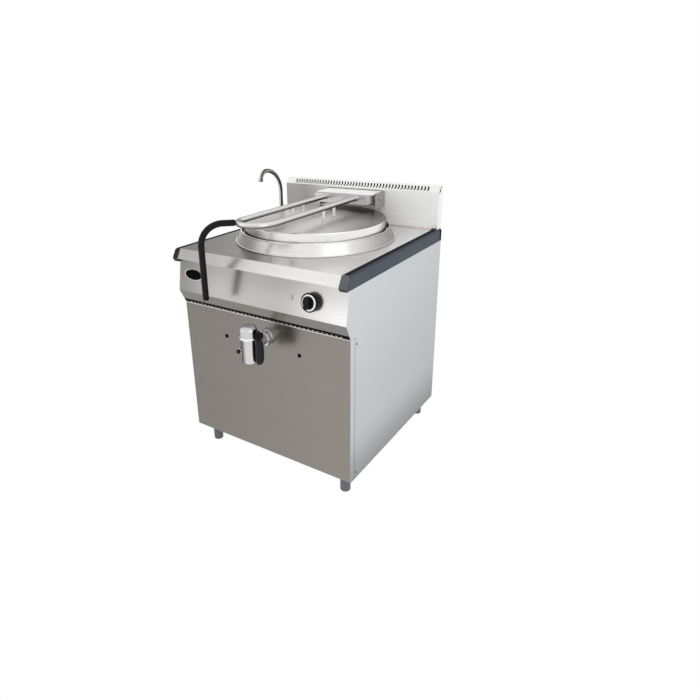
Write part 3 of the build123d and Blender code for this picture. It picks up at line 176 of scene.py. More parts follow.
def ring_group():
    """Turned brushing: fine rings round a vertical axis, with a slow cloudiness."""
    group, inp, out = new_group(
        "Turned grain",
        [("Centre", "NodeSocketVector", (0.0, 0.0, 0.0)), ("Fineness", "NodeSocketFloat", 500.0),
         ("Sweep", "NodeSocketFloat", 1.5), ("Cloud scale", "NodeSocketFloat", 5.0)],
        [("Streak", "NodeSocketFloat"), ("Cloud", "NodeSocketFloat")])
    place = group.nodes.new("ShaderNodeTexCoord")
    offset = group.nodes.new("ShaderNodeVectorMath")
    offset.operation = "SUBTRACT"
    split = group.nodes.new("ShaderNodeSeparateXYZ")
    flat = group.nodes.new("ShaderNodeCombineXYZ")
    reach = group.nodes.new("ShaderNodeVectorMath")
    reach.operation = "LENGTH"
    direction = group.nodes.new("ShaderNodeVectorMath")
    direction.operation = "NORMALIZE"
    swept = group.nodes.new("ShaderNodeVectorMath")
    swept.operation = "SCALE"
    climb = group.nodes.new("ShaderNodeMath")
    climb.operation = "ADD"
    fine = group.nodes.new("ShaderNodeMath")
    fine.operation = "MULTIPLY"
    streak = group.nodes.new("ShaderNodeTexNoise")
    streak.noise_dimensions = "4D"
    streak.inputs["Scale"].default_value = 1.0
    streak.inputs["Detail"].default_value = 3.0
    cloud = group.nodes.new("ShaderNodeTexNoise")
    link(group, place.outputs["Object"], offset.inputs[0])
    link(group, inp.outputs["Centre"], offset.inputs[1])
    link(group, offset.outputs[0], split.inputs[0])
    link(group, split.outputs["X"], flat.inputs["X"])
    link(group, split.outputs["Y"], flat.inputs["Y"])
    link(group, flat.outputs[0], reach.inputs[0])
    link(group, flat.outputs[0], direction.inputs[0])
    link(group, direction.outputs[0], swept.inputs[0])
    link(group, inp.outputs["Sweep"], swept.inputs["Scale"])
    link(group, reach.outputs["Value"], climb.inputs[0])
    link(group, split.outputs["Z"], climb.inputs[1])
    link(group, climb.outputs[0], fine.inputs[0])
    link(group, inp.outputs["Fineness"], fine.inputs[1])
    link(group, swept.outputs[0], streak.inputs["Vector"])
    link(group, fine.outputs[0], streak.inputs["W"])
    link(group, place.outputs["Object"], cloud.inputs["Vector"])
    link(group, inp.outputs["Cloud scale"], cloud.inputs["Scale"])
    link(group, streak.outputs["Fac"], out.inputs["Streak"])
    link(group, cloud.outputs["Fac"], out.inputs["Cloud"])
    return group


def speckle_group():
    """Moulded or cast surface: fine pores and a slow change of gloss."""
    group, inp, out = new_group(
        "Moulded grain",
        [("Scale", "NodeSocketFloat", 900.0), ("Cloud scale", "NodeSocketFloat", 12.0)],
        [("Pores", "NodeSocketFloat"), ("Cloud", "NodeSocketFloat")])
    place = group.nodes.new("ShaderNodeTexCoord")
    pores = group.nodes.new("ShaderNodeTexNoise")
    pores.inputs["Detail"].default_value = 4.0
    cloud = group.nodes.new("ShaderNodeTexNoise")
    link(group, place.outputs["Object"], pores.inputs["Vector"])
    link(group, place.outputs["Object"], cloud.inputs["Vector"])
    link(group, inp.outputs["Scale"], pores.inputs["Scale"])
    link(group, inp.outputs["Cloud scale"], cloud.inputs["Scale"])
    link(group, pores.outputs["Fac"], out.inputs["Pores"])
    link(group, cloud.outputs["Fac"], out.inputs["Cloud"])
    return group


GROUPS = {}


def shared(name, build):
    if name not in GROUPS:
        GROUPS[name] = build()
    return GROUPS[name]


# ------------------------------------------------------------------ materials
BUMP_DEPTH = 0.0002
ALONG_X = (3.0, 500.0, 500.0)  # stretch of the grain for brushing along X
ALONG_Y = (500.0, 3.0, 500.0)


def start_material(name):
    material = bpy.data.materials.new(name)
    material.use_nodes = True
    tree = material.node_tree
    return material, tree, tree.nodes["Principled BSDF"]


def spread(tree, source, low, high):
    """Maps a 0 to 1 value onto low to high."""
    node = tree.nodes.new("ShaderNodeMapRange")
    node.inputs["From Min"].default_value = 0.3
    node.inputs["From Max"].default_value = 0.7
    node.inputs["To Min"].default_value = low
    node.inputs["To Max"].default_value = high
    link(tree, source, node.inputs["Value"])
    return node.outputs["Result"]


def tone_of(tree, colour):
    """A colour may be three numbers, or a function that builds it in the tree."""
    return colour(tree) if callable(colour) else colour


def feed(tree, value, socket):
    """Links a socket, or sets a plain value."""
    if isinstance(value, bpy.types.NodeSocket):
        link(tree, value, socket)
    elif len(value) == len(socket.default_value):
        socket.default_value = value
    else:
        socket.default_value = [*value, 1.0]


def shade(tree, colour, amount, source):
    """Varies a colour lighter and darker by amount with a 0 to 1 value."""
    node = tree.nodes.new("ShaderNodeVectorMath")
    node.operation = "SCALE"
    feed(tree, tone_of(tree, colour), node.inputs[0])
    link(tree, spread(tree, source, 1 - amount, 1 + amount), node.inputs["Scale"])
    return node.outputs[0]


def measure(tree, output, direction, start, end):
    """0 to 1 as a vector's part along direction goes from start to end."""
    dot = tree.nodes.new("ShaderNodeVectorMath")
    dot.operation = "DOT_PRODUCT"
    dot.inputs[1].default_value = direction
    link(tree, output, dot.inputs[0])
    step = tree.nodes.new("ShaderNodeMapRange")
    step.interpolation_type = "SMOOTHSTEP"
    step.inputs["From Min"].default_value = start
    step.inputs["From Max"].default_value = end
    link(tree, dot.outputs["Value"], step.inputs["Value"])
    return step.outputs["Result"]


def along(tree, direction, start, end):
    """0 to 1 over a stretch of the part, measured along direction."""
    return measure(tree, tree.nodes.new("ShaderNodeTexCoord").outputs["Object"], direction, start, end)


def facing(tree, direction, start, end):
    """0 to 1 as the surface turns towards direction."""
    return measure(tree, tree.nodes.new("ShaderNodeTexCoord").outputs["Normal"], direction, start, end)


def blend(tree, factor, first, second):
    mix = tree.nodes.new("ShaderNodeMix")
    mix.data_type = "RGBA"
    link(tree, factor, mix.inputs["Factor"])
    feed(tree, tone_of(tree, first), mix.inputs["A"])
    feed(tree, tone_of(tree, second), mix.inputs["B"])
    return mix.outputs["Result"]


def larger(tree, first, second):
    node = tree.nodes.new("ShaderNodeMath")
    node.operation = "MAXIMUM"
    link(tree, first, node.inputs[0])
    link(tree, second, node.inputs[1])
    return node.outputs[0]


def add_bump(tree, shader, source, strength):
    bump = tree.nodes.new("ShaderNodeBump")
    bump.inputs["Strength"].default_value = strength
    bump.inputs["Distance"].default_value = BUMP_DEPTH
    link(tree, source, bump.inputs["Height"])
    link(tree, bump.outputs["Normal"], shader.inputs["Normal"])


def brushed_steel(name, colour, stretch, rough=0.32, contrast=0.06, bump=0.12, edge=0.6, metallic=1.0):
    material, tree, shader = start_material(name)
    grain = tree.nodes.new("ShaderNodeGroup")
    grain.node_tree = shared("grain", grain_group)
    grain.inputs["Stretch"].default_value = stretch
    shader.inputs["Metallic"].default_value = metallic
    shader.inputs["Specular Tint"].default_value = (edge, edge, edge, 1.0)
    link(tree, shade(tree, colour, contrast, grain.outputs["Streak"]), shader.inputs["Base Color"])
    link(tree, spread(tree, grain.outputs["Cloud"], rough - 0.04, rough + 0.05), shader.inputs["Roughness"])
    add_bump(tree, shader, grain.outputs["Streak"], bump)
    return material


def turned_steel(name, colour, centre, rough=0.25, contrast=0.05, bump=0.1, fineness=450.0, sweep=1.2):
    material, tree, shader = start_material(name)
    grain = tree.nodes.new("ShaderNodeGroup")
    grain.node_tree = shared("ring", ring_group)
    grain.inputs["Centre"].default_value = centre
    grain.inputs["Fineness"].default_value = fineness
    grain.inputs["Sweep"].default_value = sweep
    shader.inputs["Metallic"].default_value = 1.0
    link(tree, shade(tree, colour, contrast, grain.outputs["Streak"]), shader.inputs["Base Color"])
    link(tree, spread(tree, grain.outputs["Cloud"], rough - 0.04, rough + 0.06), shader.inputs["Roughness"])
    add_bump(tree, shader, grain.outputs["Streak"], bump)
    return material


def moulded(name, colour, rough=0.45, metallic=0.0, contrast=0.1, scale=900.0, bump=0.15, specular=0.5,
            edge=1.0):
    material, tree, shader = start_material(name)
    grain = tree.nodes.new("ShaderNodeGroup")
    grain.node_tree = shared("speckle", speckle_group)
    grain.inputs["Scale"].default_value = scale
    shader.inputs["Metallic"].default_value = metallic
    shader.inputs["Specular IOR Level"].default_value = specular
    shader.inputs["Specular Tint"].default_value = (edge, edge, edge, 1.0)
    link(tree, shade(tree, colour, contrast, grain.outputs["Cloud"]), shader.inputs["Base Color"])
    link(tree, spread(tree, grain.outputs["Pores"], rough - 0.06, rough + 0.08), shader.inputs["Roughness"])
    add_bump(tree, shader, grain.outputs["Pores"], bump)
    return material


# black for pieces that stand in for shade
def shade_black(name):
    return moulded(name, (0.004, 0.004, 0.004), 0.8, specular=0.05)


def finish_nodes(material, *names):
    for name in names:
        node = NODES[name]
        if node.material_slots:
            for slot in node.material_slots:
                slot.material = material
        else:
            node.data.materials.append(material)


# ------------------------------------------------------------------ stage
class KETTLE_OT_stage(Operator):
    """Set the camera, lamps, surroundings and floor"""

    bl_idname = "kettle.stage"
    bl_label = "Stage"

    def execute(self, context):
        settings = context.scene.kettle_stage
        yaw, pitch, roll = settings.camera_yaw, settings.camera_pitch, settings.camera_roll
        back = Vector((
            math.sin(yaw) * math.cos(pitch), -math.cos(yaw) * math.cos(pitch), math.sin(pitch)))
        right = Vector((math.cos(yaw), math.sin(yaw), 0.0))
        up = back.cross(right)
        across = math.cos(roll) * right + math.sin(roll) * up
        above = -math.sin(roll) * right + math.cos(roll) * up
        bpy.ops.object.camera_add()
        camera = context.object
        camera.name = "camera"
        turn = Matrix((across, above, back)).transposed().to_4x4()
        camera.matrix_world = Matrix.Translation(settings.camera_place) @ turn
        camera.data.sensor_fit = "HORIZONTAL"
        camera.data.sensor_width = 36.0
        camera.data.lens = settings.camera_lens
        camera.data.shift_x, camera.data.shift_y = settings.camera_shift
        context.scene.camera = camera
        context.scene.view_settings.view_transform = "Standard"

        world = bpy.data.worlds.new("surround")
        context.scene.world = world
        world.use_nodes = True
        tree = world.node_tree
        path = tree.nodes.new("ShaderNodeLightPath")
        seen = larger(tree, path.outputs["Is Camera Ray"], path.outputs["Is Glossy Ray"])
        seen = larger(tree, seen, path.outputs["Is Transmission Ray"])
        level = tree.nodes.new("ShaderNodeMapRange")
        level.inputs["To Min"].default_value = settings.world_level
        level.inputs["To Max"].default_value = 1.0
        link(tree, seen, level.inputs["Value"])
        ground = tree.nodes["Background"]
        ground.inputs["Color"].default_value = (1.0, 1.0, 1.0, 1.0)
        link(tree, level.outputs["Result"], ground.inputs["Strength"])

        aim_point = Vector((0.0, 0.0, 0.7))
        for name, place, size, power in (
            ("key_lamp", (2.9, -1.6, 1.9), 2.2, settings.key_power),
            ("fill_lamp", (-2.2, -2.2, 1.6), 2.0, settings.fill_power),
        ):
            bpy.ops.object.light_add(type="AREA", location=place)
            lamp = context.object
            lamp.name = name
            lamp.data.size = size
            lamp.data.energy = power
            aim = aim_point - Vector(place)
            lamp.rotation_euler = aim.to_track_quat("-Z", "Y").to_euler()

        bpy.ops.mesh.primitive_plane_add(size=40.0, location=(0.0, 0.0, 0.0))
        floor = context.object
        floor.name = "floor"
        material, tree, shader = start_material("floor paint")
        shader.inputs["Base Color"].default_value = [*settings.floor_colour, 1.0]
        shader.inputs["Roughness"].default_value = 0.9
        shader.inputs["Specular IOR Level"].default_value = 0.1
        glow = tree.nodes.new("ShaderNodeEmission")
        path = tree.nodes.new("ShaderNodeLightPath")
        cover = tree.nodes.new("ShaderNodeMixShader")
        seen = larger(tree, path.outputs["Is Camera Ray"], path.outputs["Is Glossy Ray"])
        link(tree, seen, cover.inputs["Fac"])
        link(tree, shader.outputs[0], cover.inputs[1])
        link(tree, glow.outputs[0], cover.inputs[2])
        link(tree, cover.outputs[0], tree.nodes["Material Output"].inputs["Surface"])
        floor.data.materials.append(material)
        return {"FINISHED"}


# ------------------------------------------------------------------ colours over a part, mostly painted light and shade
RIGHT = (1.0, 0.0, 0.0)
REARWARD = (0.0, 1.0, 0.0)
UP = (0.0, 0.0, 1.0)
SCREEN_RIGHT = (0.81, 0.59, 0.0)  # level direction across the usual corner view
HALF_WIDTH = FRONT_HIGH.x
TOP_Z = TOP_HIGH.z
LID_RADIUS = (LID_HIGH.x - LID_LOW.x) / 2


def finishes():
    return bpy.context.scene.kettle_finishes


def steel(level):
    """Steel of a given brightness, a little warmer where it is dark."""
    warmth = 0.06 * (1.0 - level)
    return (min(1.0, level * (1.0 + warmth)), level, level * (1.0 - warmth))


def fade(tree, colour, factor, first, last):
    """Scales a colour from first to last as factor goes from 0 to 1."""
    level = tree.nodes.new("ShaderNodeMapRange")
    level.inputs["To Min"].default_value = first
    level.inputs["To Max"].default_value = last
    link(tree, factor, level.inputs["Value"])
    node = tree.nodes.new("ShaderNodeVectorMath")
    node.operation = "SCALE"
    feed(tree, colour, node.inputs[0])
    link(tree, level.outputs["Result"], node.inputs["Scale"])
    return node.outputs[0]


def side_colour(tree):
    """Side panels: painted shade makes them darker towards the floor, and painted light makes them brighter
    higher up.
    """
    low = fade(tree, finishes().side_steel, along(tree, UP, 0.05, 0.32), 0.55, 0.96)
    return fade(tree, low, along(tree, UP, 0.3, 0.9), 1.0, 1.14)


def front_colour(tree):
    """Front sheet: its face painted darker than the side panels as shade, lighter to the right; its folded
    sides are as pale as the side panels, with a dark seam at their rear edge.
    """
    right_side = facing(tree, RIGHT, 0.4, 0.6)
    left_side = facing(tree, (-1.0, 0.0, 0.0), 0.4, 0.6)
    # painted shade: the face is darker than the side steel, and painted lighter towards the right
    front = fade(tree, finishes().front_steel, along(tree, RIGHT, -HALF_WIDTH, HALF_WIDTH), 0.94, 1.1)
    fold = blend(tree, along(tree, REARWARD, FRONT_HIGH.y - 0.0026, FRONT_HIGH.y - 0.0012),
                 side_colour, (0.04, 0.04, 0.04))
    return blend(tree, left_side, blend(tree, right_side, front, fold), fold)


def control_colour(tree):
    """Leaning control face, painted brighter to the right and below as light; its return is painted a warm
    dark tone as shade, and black along the vents as painted shade.
    """
    # painted light: brighter to the right and towards the foot
    face = blend(tree, along(tree, RIGHT, -1.0 * HALF_WIDTH, -0.4 * HALF_WIDTH), steel(0.25), steel(0.44))
    face = blend(tree, along(tree, RIGHT, 0.2 * HALF_WIDTH, HALF_WIDTH), face, steel(0.84))
    face = fade(tree, face, along(tree, UP, CONTROL_HIGH.z - 0.11, CONTROL_HIGH.z), 1.12, 0.82)
    # painted shade: the downward return is darker, and black along the row of vents
    below = facing(tree, (0.0, 0.0, -1.0), 0.2, 0.3)
    row_top = FRONT_HIGH.z + 0.0165  # upper edge of the shaded row of vents
    shaded = along(tree, UP, row_top, row_top + 0.001)
    fold = blend(tree, shaded, (0.012, 0.011, 0.010), (0.28, 0.264, 0.25))
    return blend(tree, below, face, fold)


def worktop_colour(tree):
    """Flat top with painted reflections, dark towards the front left corner and bright beyond it; the sloped
    nose is painted bright as a highlight, more so to the right.
    """
    top = blend(tree, along(tree, SCREEN_RIGHT, -0.5, -0.22), steel(0.13), steel(0.27))
    bright = blend(tree, along(tree, REARWARD, -0.2, 0.05), steel(0.74), steel(1.0))
    top = blend(tree, along(tree, SCREEN_RIGHT, -0.22, -0.12), top, bright)
    top = blend(tree, along(tree, SCREEN_RIGHT, 0.15, 0.4), top, (1.0, 1.0, 1.0))
    nose = blend(tree, along(tree, RIGHT, -0.9 * HALF_WIDTH, 0.9 * HALF_WIDTH), steel(0.36), steel(0.80))
    return blend(tree, facing(tree, (0.0, -1.0, 0.0), 0.3, 0.6), top, nose)


def splash_colour(tree):
    """Housing behind the kettle: painted shade makes it darker at the left, painted light makes its rim
    nearly white, and the end of its chamfer is painted black as shade, as if open.
    """
    face = blend(tree, along(tree, RIGHT, -0.75 * HALF_WIDTH, -0.2 * HALF_WIDTH), steel(0.40), steel(0.88))
    face = blend(tree, along(tree, RIGHT, 0.2 * HALF_WIDTH, 0.5 * HALF_WIDTH), face, steel(0.96))
    edge = 0.7 * (SPLASH_HIGH.z - SPLASH_LOW.y)
    # painted shade: the end of the chamfer is black as if open
    open_end_shade = along(tree, (0.0, -0.7, 0.7), edge - 0.023, edge - 0.021)
    end = blend(tree, open_end_shade, steel(0.9), (0.01, 0.01, 0.01))
    face = blend(tree, facing(tree, RIGHT, 0.8, 0.9), face, end)
    return blend(tree, facing(tree, UP, 0.2, 0.5), face, (0.90, 0.90, 0.89))


def lid_colour(tree):
    """Crown with a painted light band over its middle and a painted dark reflection at the rear right; the
    skirt is painted bright in front.
    """
    across = KETTLE_AXIS.dot(Vector(SCREEN_RIGHT))
    crown = blend(tree, along(tree, SCREEN_RIGHT, across - 0.19, across - 0.05), steel(0.40), steel(0.62))
    crown = blend(tree, along(tree, SCREEN_RIGHT, across - 0.02, across + 0.22), crown, steel(0.13))
    skirt = blend(tree, along(tree, SCREEN_RIGHT, across - 0.92 * LID_RADIUS, across - 0.4 * LID_RADIUS),
                  steel(0.30), steel(0.88))
    skirt = blend(tree, along(tree, SCREEN_RIGHT, across + 0.84 * LID_RADIUS, across + 0.97 * LID_RADIUS),
                  skirt, steel(0.16))
    return blend(tree, facing(tree, UP, 0.35, 0.8), skirt, crown)


def collar_colour(tree):
    """Raised cone with painted reflections: dark on the left, bright in front, with beads painted light where
    they face up.
    """
    across = KETTLE_AXIS.dot(Vector(SCREEN_RIGHT))
    cone = blend(tree, along(tree, SCREEN_RIGHT, across - LID_RADIUS, across - 0.4 * LID_RADIUS),
                 steel(0.20), steel(0.78))
    cone = blend(tree, along(tree, SCREEN_RIGHT, across + 0.3 * LID_RADIUS, across + 1.05 * LID_RADIUS),
                 cone, steel(0.28))
    return blend(tree, facing(tree, UP, 0.75, 0.9), cone, steel(0.9))


def barrel_colour(tree):
    """Tap barrel: painted reflections make it grey at its left, bright in the middle."""
    return blend(tree, facing(tree, (-0.81, -0.59, 0.0), 0.35, 0.75), steel(0.66), steel(0.30))


def bar_colour(tree):
    """Hinge bar: grey face, lighter on top where a painted highlight runs along its front edge."""
    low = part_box("crossbar")[0]
    top = blend(tree, along(tree, REARWARD, low.y + 0.003, low.y + 0.005), (0.95, 0.95, 0.94), steel(0.72))
    return blend(tree, facing(tree, UP, 0.4, 0.8), steel(0.72), top)


def tube_colour(tree):
    """Arm tubes: painted light along the top, painted shade below."""
    return blend(tree, facing(tree, UP, -0.7, 0.5), steel(0.22), steel(0.74))


def spout_colour(tree):
    """Spout: bright, with a painted dark reflection along its length."""
    # painted dark reflection where the spout turns across the view
    streak = blend(tree, facing(tree, SCREEN_RIGHT, -0.25, 0.0), steel(0.66), steel(0.06))
    return blend(tree, facing(tree, SCREEN_RIGHT, 0.45, 0.75), streak, steel(0.35))


def ring_colour(tree):
    """Knob ring: bright slope next to the hub, black outside it."""
    low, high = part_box("knob_ring")
    place = tree.nodes.new("ShaderNodeTexCoord")
    reach = tree.nodes.new("ShaderNodeVectorMath")
    reach.operation = "DISTANCE"
    reach.inputs[1].default_value = (low + high) / 2
    link(tree, place.outputs["Object"], reach.inputs[0])
    rim = tree.nodes.new("ShaderNodeMapRange")
    rim.inputs["From Min"].default_value = 0.83 * (high.x - low.x) / 2
    rim.inputs["From Max"].default_value = 0.86 * (high.x - low.x) / 2
    link(tree, reach.outputs["Value"], rim.inputs["Value"])
    return blend(tree, rim.outputs["Result"], (0.80, 0.80, 0.81), (0.006, 0.006, 0.007))


def trim_colour(tree):
    """Coated side trims, with painted shade darkening the top."""
    coat = blend(tree, facing(tree, UP, 0.6, 0.9), finishes().trim_grey, (0.004, 0.005, 0.007))
    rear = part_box("trim_right")[1].y
    return blend(tree, along(tree, REARWARD, rear - 0.020, rear - 0.018), coat, (0.004, 0.004, 0.005))


def right_cap_colour(tree):
    """Right-hand nose cap: grey, its foot painted black as shade underneath."""
    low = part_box("trim_cap_right")[0].z
    return blend(tree, along(tree, UP, low + 0.010, low + 0.013), (0.008, 0.008, 0.01), finishes().trim_grey)


def cap_colour(tree):
    """Tap cap: chrome, a little warmer on its crown, with a black fork."""
    low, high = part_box("drain_cap")
    side = low.x + (high.y - low.y)
    dome = blend(tree, facing(tree, UP, 0.35, 0.75), finishes().plate_chrome, (0.62, 0.62, 0.63))
    return blend(tree, along(tree, RIGHT, side - 0.004, side - 0.002), dome, finishes().moulding_black)


class KETTLE_OT_finishes(Operator):
    """Give every main part its finish"""

    bl_idname = "kettle.finishes"
    bl_label = "Finishes"

    def execute(self, context):
        colours = finishes()
        centre = tuple(KETTLE_AXIS)
        black = colours.moulding_black
        chrome = colours.plate_chrome
        finish_nodes(brushed_steel("front steel", front_colour, ALONG_X, 0.3), "front_panel")
        finish_nodes(brushed_steel("side steel", side_colour, ALONG_Y, 0.3, 0.03),
                     "side_panel_left", "side_panel_right", "back_panel")
        finish_nodes(brushed_steel("control steel", control_colour, ALONG_X, 0.25, 0.03), "control_panel")
        finish_nodes(brushed_steel("worktop steel", worktop_colour, ALONG_X, 0.22, 0.03, metallic=0.65),
                     "worktop")
        finish_nodes(brushed_steel("splash steel", splash_colour, ALONG_X, 0.3, 0.03, metallic=0.1),
                     "backsplash")
        finish_nodes(brushed_steel("bar steel", bar_colour, ALONG_X, 0.25, 0.03, edge=0.3, metallic=0.7),
                     "crossbar", "hinge_hub")
        finish_nodes(brushed_steel("bracket steel", steel(0.46), ALONG_Y, 0.25, 0.03, metallic=0.8),
                     "hinge_bracket")
        # painted light: the cover's steel is near white, far paler than the bar's
        finish_nodes(brushed_steel("cover steel", steel(1.0), ALONG_X, 0.3, 0.02, metallic=0.1),
                     "hinge_cover")
        finish_nodes(turned_steel("lid steel", lid_colour, centre, 0.28), "lid_shell")
        finish_nodes(turned_steel("collar steel", collar_colour, centre, 0.25), "kettle_collar")
        finish_nodes(turned_steel("vessel steel", steel(0.6), centre, 0.2), "kettle_vessel", "kettle_jacket")
        finish_nodes(brushed_steel("tube steel", tube_colour, ALONG_Y, 0.22, 0.02, 0.02, edge=0.3),
                     "lid_arms")
        finish_nodes(moulded("post steel", steel(0.9), 0.25, 0.7, edge=0.25), "lid_post_1", "lid_post_2",
                     "lid_post_3", "lid_post_4", "torsion_bar")
        finish_nodes(moulded("trim coat", trim_colour, 0.6, 0.0, 0.06, specular=0.05), "trim_left",
                     "trim_right")
        finish_nodes(moulded("cap plastic", black, 0.4, specular=0.15), "trim_cap_left", "cable_gland")
        finish_nodes(moulded("cap coat", right_cap_colour, 0.4), "trim_cap_right")
        finish_nodes(moulded("grip plastic", (0.006, 0.006, 0.007), 0.4, specular=0.15), "handle_sleeve",
                     "handle_rod", "drain_grip", "knob_body", "jacket_cock_knob")
        finish_nodes(moulded("plug black", (0.003, 0.003, 0.003), 0.6, specular=0.03), "hole_plug_left",
                     "hole_plug_right")
        finish_nodes(moulded("chrome plate", chrome, 0.08, 1.0, 0.02, bump=0.02, edge=0.05), "tap_nut",
                     "drain_plug", "drain_pipe", "jacket_cock_body", "pivot_pin_left", "pivot_pin_right")
        finish_nodes(moulded("spout chrome", spout_colour, 0.08, 1.0, 0.02, bump=0.01, edge=0.01), "spout",
                     "faucet_base", "faucet_lever")
        finish_nodes(moulded("barrel chrome", barrel_colour, 0.12, 1.0, 0.02, bump=0.02, edge=0.05),
                     "tap_body")
        finish_nodes(moulded("ring chrome", ring_colour, 0.2, 1.0, 0.02, bump=0.02), "knob_ring")
        finish_nodes(moulded("cap chrome", cap_colour, 0.12, 0.75, 0.02, bump=0.02, edge=0.1), "drain_cap")
        finish_nodes(moulded("foot steel", (0.13, 0.14, 0.155), 0.35, 0.6), "foot_1", "foot_2", "foot_3",
                     "foot_4")
        finish_nodes(moulded("tray steel", (0.4, 0.4, 0.4), 0.35, 1.0), "base_tray", "terminal_box",
                     "safety_valve", "heating_element_1", "heating_element_2")
        finish_nodes(moulded("lamp lens", (0.52, 0.52, 0.50), 0.2), "pilot_lamp")
        finish_nodes(moulded("switch plastic", (0.6, 0.58, 0.5), 0.35), "selector_switch")
        finish_nodes(moulded("wool blanket", (0.7, 0.64, 0.42), 0.9, contrast=0.2, scale=300.0, bump=0.6),
                     "insulation")
        finish_nodes(moulded("brass pipe", (0.68, 0.5, 0.22), 0.25, 1.0), "water_pipe")
        return {"FINISHED"}


# ------------------------------------------------------------------ places on the frame
CONTROL_LEAN = 0.022  # how far the top of the control face stands back from its foot
RETURN_RISE = 0.059  # height of the return under the control face
VENT_COUNT = 38
VENT_END_INSET = 0.0374
VENT_DROP = 0.013  # vents above the foot of the return
LOUVRE_DROP = 0.025  # height of the louvred chamfer
LOUVRE_SETBACK = 0.021
CONTROL_FOOT = Vector((0.0, CONTROL_LOW.y, FRONT_HIGH.z + RETURN_RISE))
CONTROL_UP = Vector((0.0, CONTROL_LEAN, CONTROL_HIGH.z - CONTROL_FOOT.z)).normalized()
RETURN_FOOT = Vector((0.0, FRONT_LOW.y, FRONT_HIGH.z))
RETURN_UP = (CONTROL_FOOT - RETURN_FOOT).normalized()
CHAMFER_FOOT = Vector((0.0, SPLASH_LOW.y, SPLASH_HIGH.z - LOUVRE_DROP))
CHAMFER_UP = Vector((0.0, LOUVRE_SETBACK, LOUVRE_DROP)).normalized()
ACROSS = Vector(RIGHT)


def face_frame(origin, up):
    """Turn and place whose X runs right, Y runs up a front-facing sheet and Z points out of it."""
    out = ACROSS.cross(up)
    turn = Matrix((ACROSS, up, out)).transposed().to_4x4()
    return Matrix.Translation(origin) @ turn


def axis_frame(origin, out):
    """Turn and place whose Z points along out."""
    return Matrix.Translation(origin) @ Vector(out).to_track_quat("Z", "Y").to_matrix().to_4x4()


# ------------------------------------------------------------------ mesh helpers
def clear_selection():
    if bpy.context.object and bpy.context.object.mode != "OBJECT":
        bpy.ops.object.mode_set(mode="OBJECT")
    bpy.ops.object.select_all(action="DESELECT")


def stack(name, steps, vertices=48):
    """Solid built by extruding a disc through (radius, height) steps; the last face stays selected."""
    clear_selection()
    radius, height = steps[0]
    bpy.ops.mesh.primitive_circle_add(vertices=vertices, radius=radius, fill_type="NGON",
                                      location=(0.0, 0.0, height))
    piece = bpy.context.object
    piece.name = name
    bpy.ops.object.transform_apply(location=True, rotation=False, scale=False)
    bpy.ops.object.mode_set(mode="EDIT")
    bpy.ops.mesh.select_mode(type="FACE")
    bpy.ops.mesh.select_all(action="SELECT")
    for next_radius, next_height in steps[1:]:
        bpy.ops.mesh.extrude_region_move(TRANSFORM_OT_translate={"value": (0.0, 0.0, next_height - height)})
        bpy.ops.transform.resize(value=(next_radius / radius, next_radius / radius, 1.0))
        radius, height = next_radius, next_height
    return piece


def strip(name, length, width, thickness, edge):
    """Flat bar with bevelled edges, lying on the XY plane."""
    clear_selection()
    bpy.ops.mesh.primitive_plane_add(size=1.0)
    piece = bpy.context.object
    piece.name = name
    piece.scale = (length, width, 1.0)
    bpy.ops.object.transform_apply(location=False, rotation=False, scale=True)
    bpy.ops.object.mode_set(mode="EDIT")
    bpy.ops.mesh.select_all(action="SELECT")
    bpy.ops.mesh.extrude_region_move(TRANSFORM_OT_translate={"value": (0.0, 0.0, thickness)})
    bpy.ops.mesh.select_all(action="SELECT")
    bpy.ops.mesh.bevel(offset=edge, segments=2, affect="EDGES")
    return piece


def settle(piece, place, body, slot, *materials):
    """Finishes a piece: faces outwards, smooth, in its place, with its finish and its body."""
    bpy.ops.mesh.select_all(action="SELECT")
    bpy.ops.mesh.normals_make_consistent(inside=False)
    bpy.ops.object.mode_set(mode="OBJECT")
    piece.matrix_world = place @ piece.matrix_world
    bpy.ops.object.transform_apply(location=True, rotation=True, scale=True)
    bpy.ops.object.shade_smooth_by_angle(angle=math.radians(35))
    if not piece.data.materials:
        for material in materials:
            piece.data.materials.append(material)
    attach(piece, body)


def copy_piece(piece, name, shift, body):
    """Another of a repeated part, with its own mesh."""
    clear_selection()
    twin = piece.copy()
    twin.data = piece.data.copy()
    twin.name = name
    bpy.context.collection.objects.link(twin)
    twin.select_set(True)
    bpy.context.view_layer.objects.active = twin
    twin.location = shift
    bpy.ops.object.transform_apply(location=True, rotation=False, scale=False)
    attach(twin, body)


# ------------------------------------------------------------------ small parts
class KETTLE_OT_badge(Operator):
    """Add the blank oval badge on the control panel"""

    bl_idname = "kettle.badge"
    bl_label = "Badge"

    def execute(self, context):
        sizes = context.scene.kettle_details
        half = sizes.badge_length / 2
        left_margin = 0.0305
        badge_rise = 0.0741
        rim = 0.0036
        steps = [(half, 0.0), (half, 0.0012), (half - 0.5 * rim, 0.0020), (half - rim, 0.0016)]
        piece = stack("badge", steps, 96)
        piece.data.materials.append(moulded("badge rim", (0.9, 0.9, 0.9), 0.25, 0.6))
        piece.data.materials.append(moulded("badge face", (0.002, 0.002, 0.002), 0.4, specular=0.02))
        piece.active_material_index = 1
        bpy.ops.object.material_slot_assign()
        bpy.ops.mesh.select_all(action="SELECT")
        bpy.ops.transform.resize(value=(1.0, sizes.badge_height / sizes.badge_length, 1.0))
        centre = CONTROL_FOOT + badge_rise * CONTROL_UP + (half + left_margin - HALF_WIDTH) * ACROSS
        settle(piece, face_frame(centre, CONTROL_UP), "cabinet", "black_plastic")
        return {"FINISHED"}


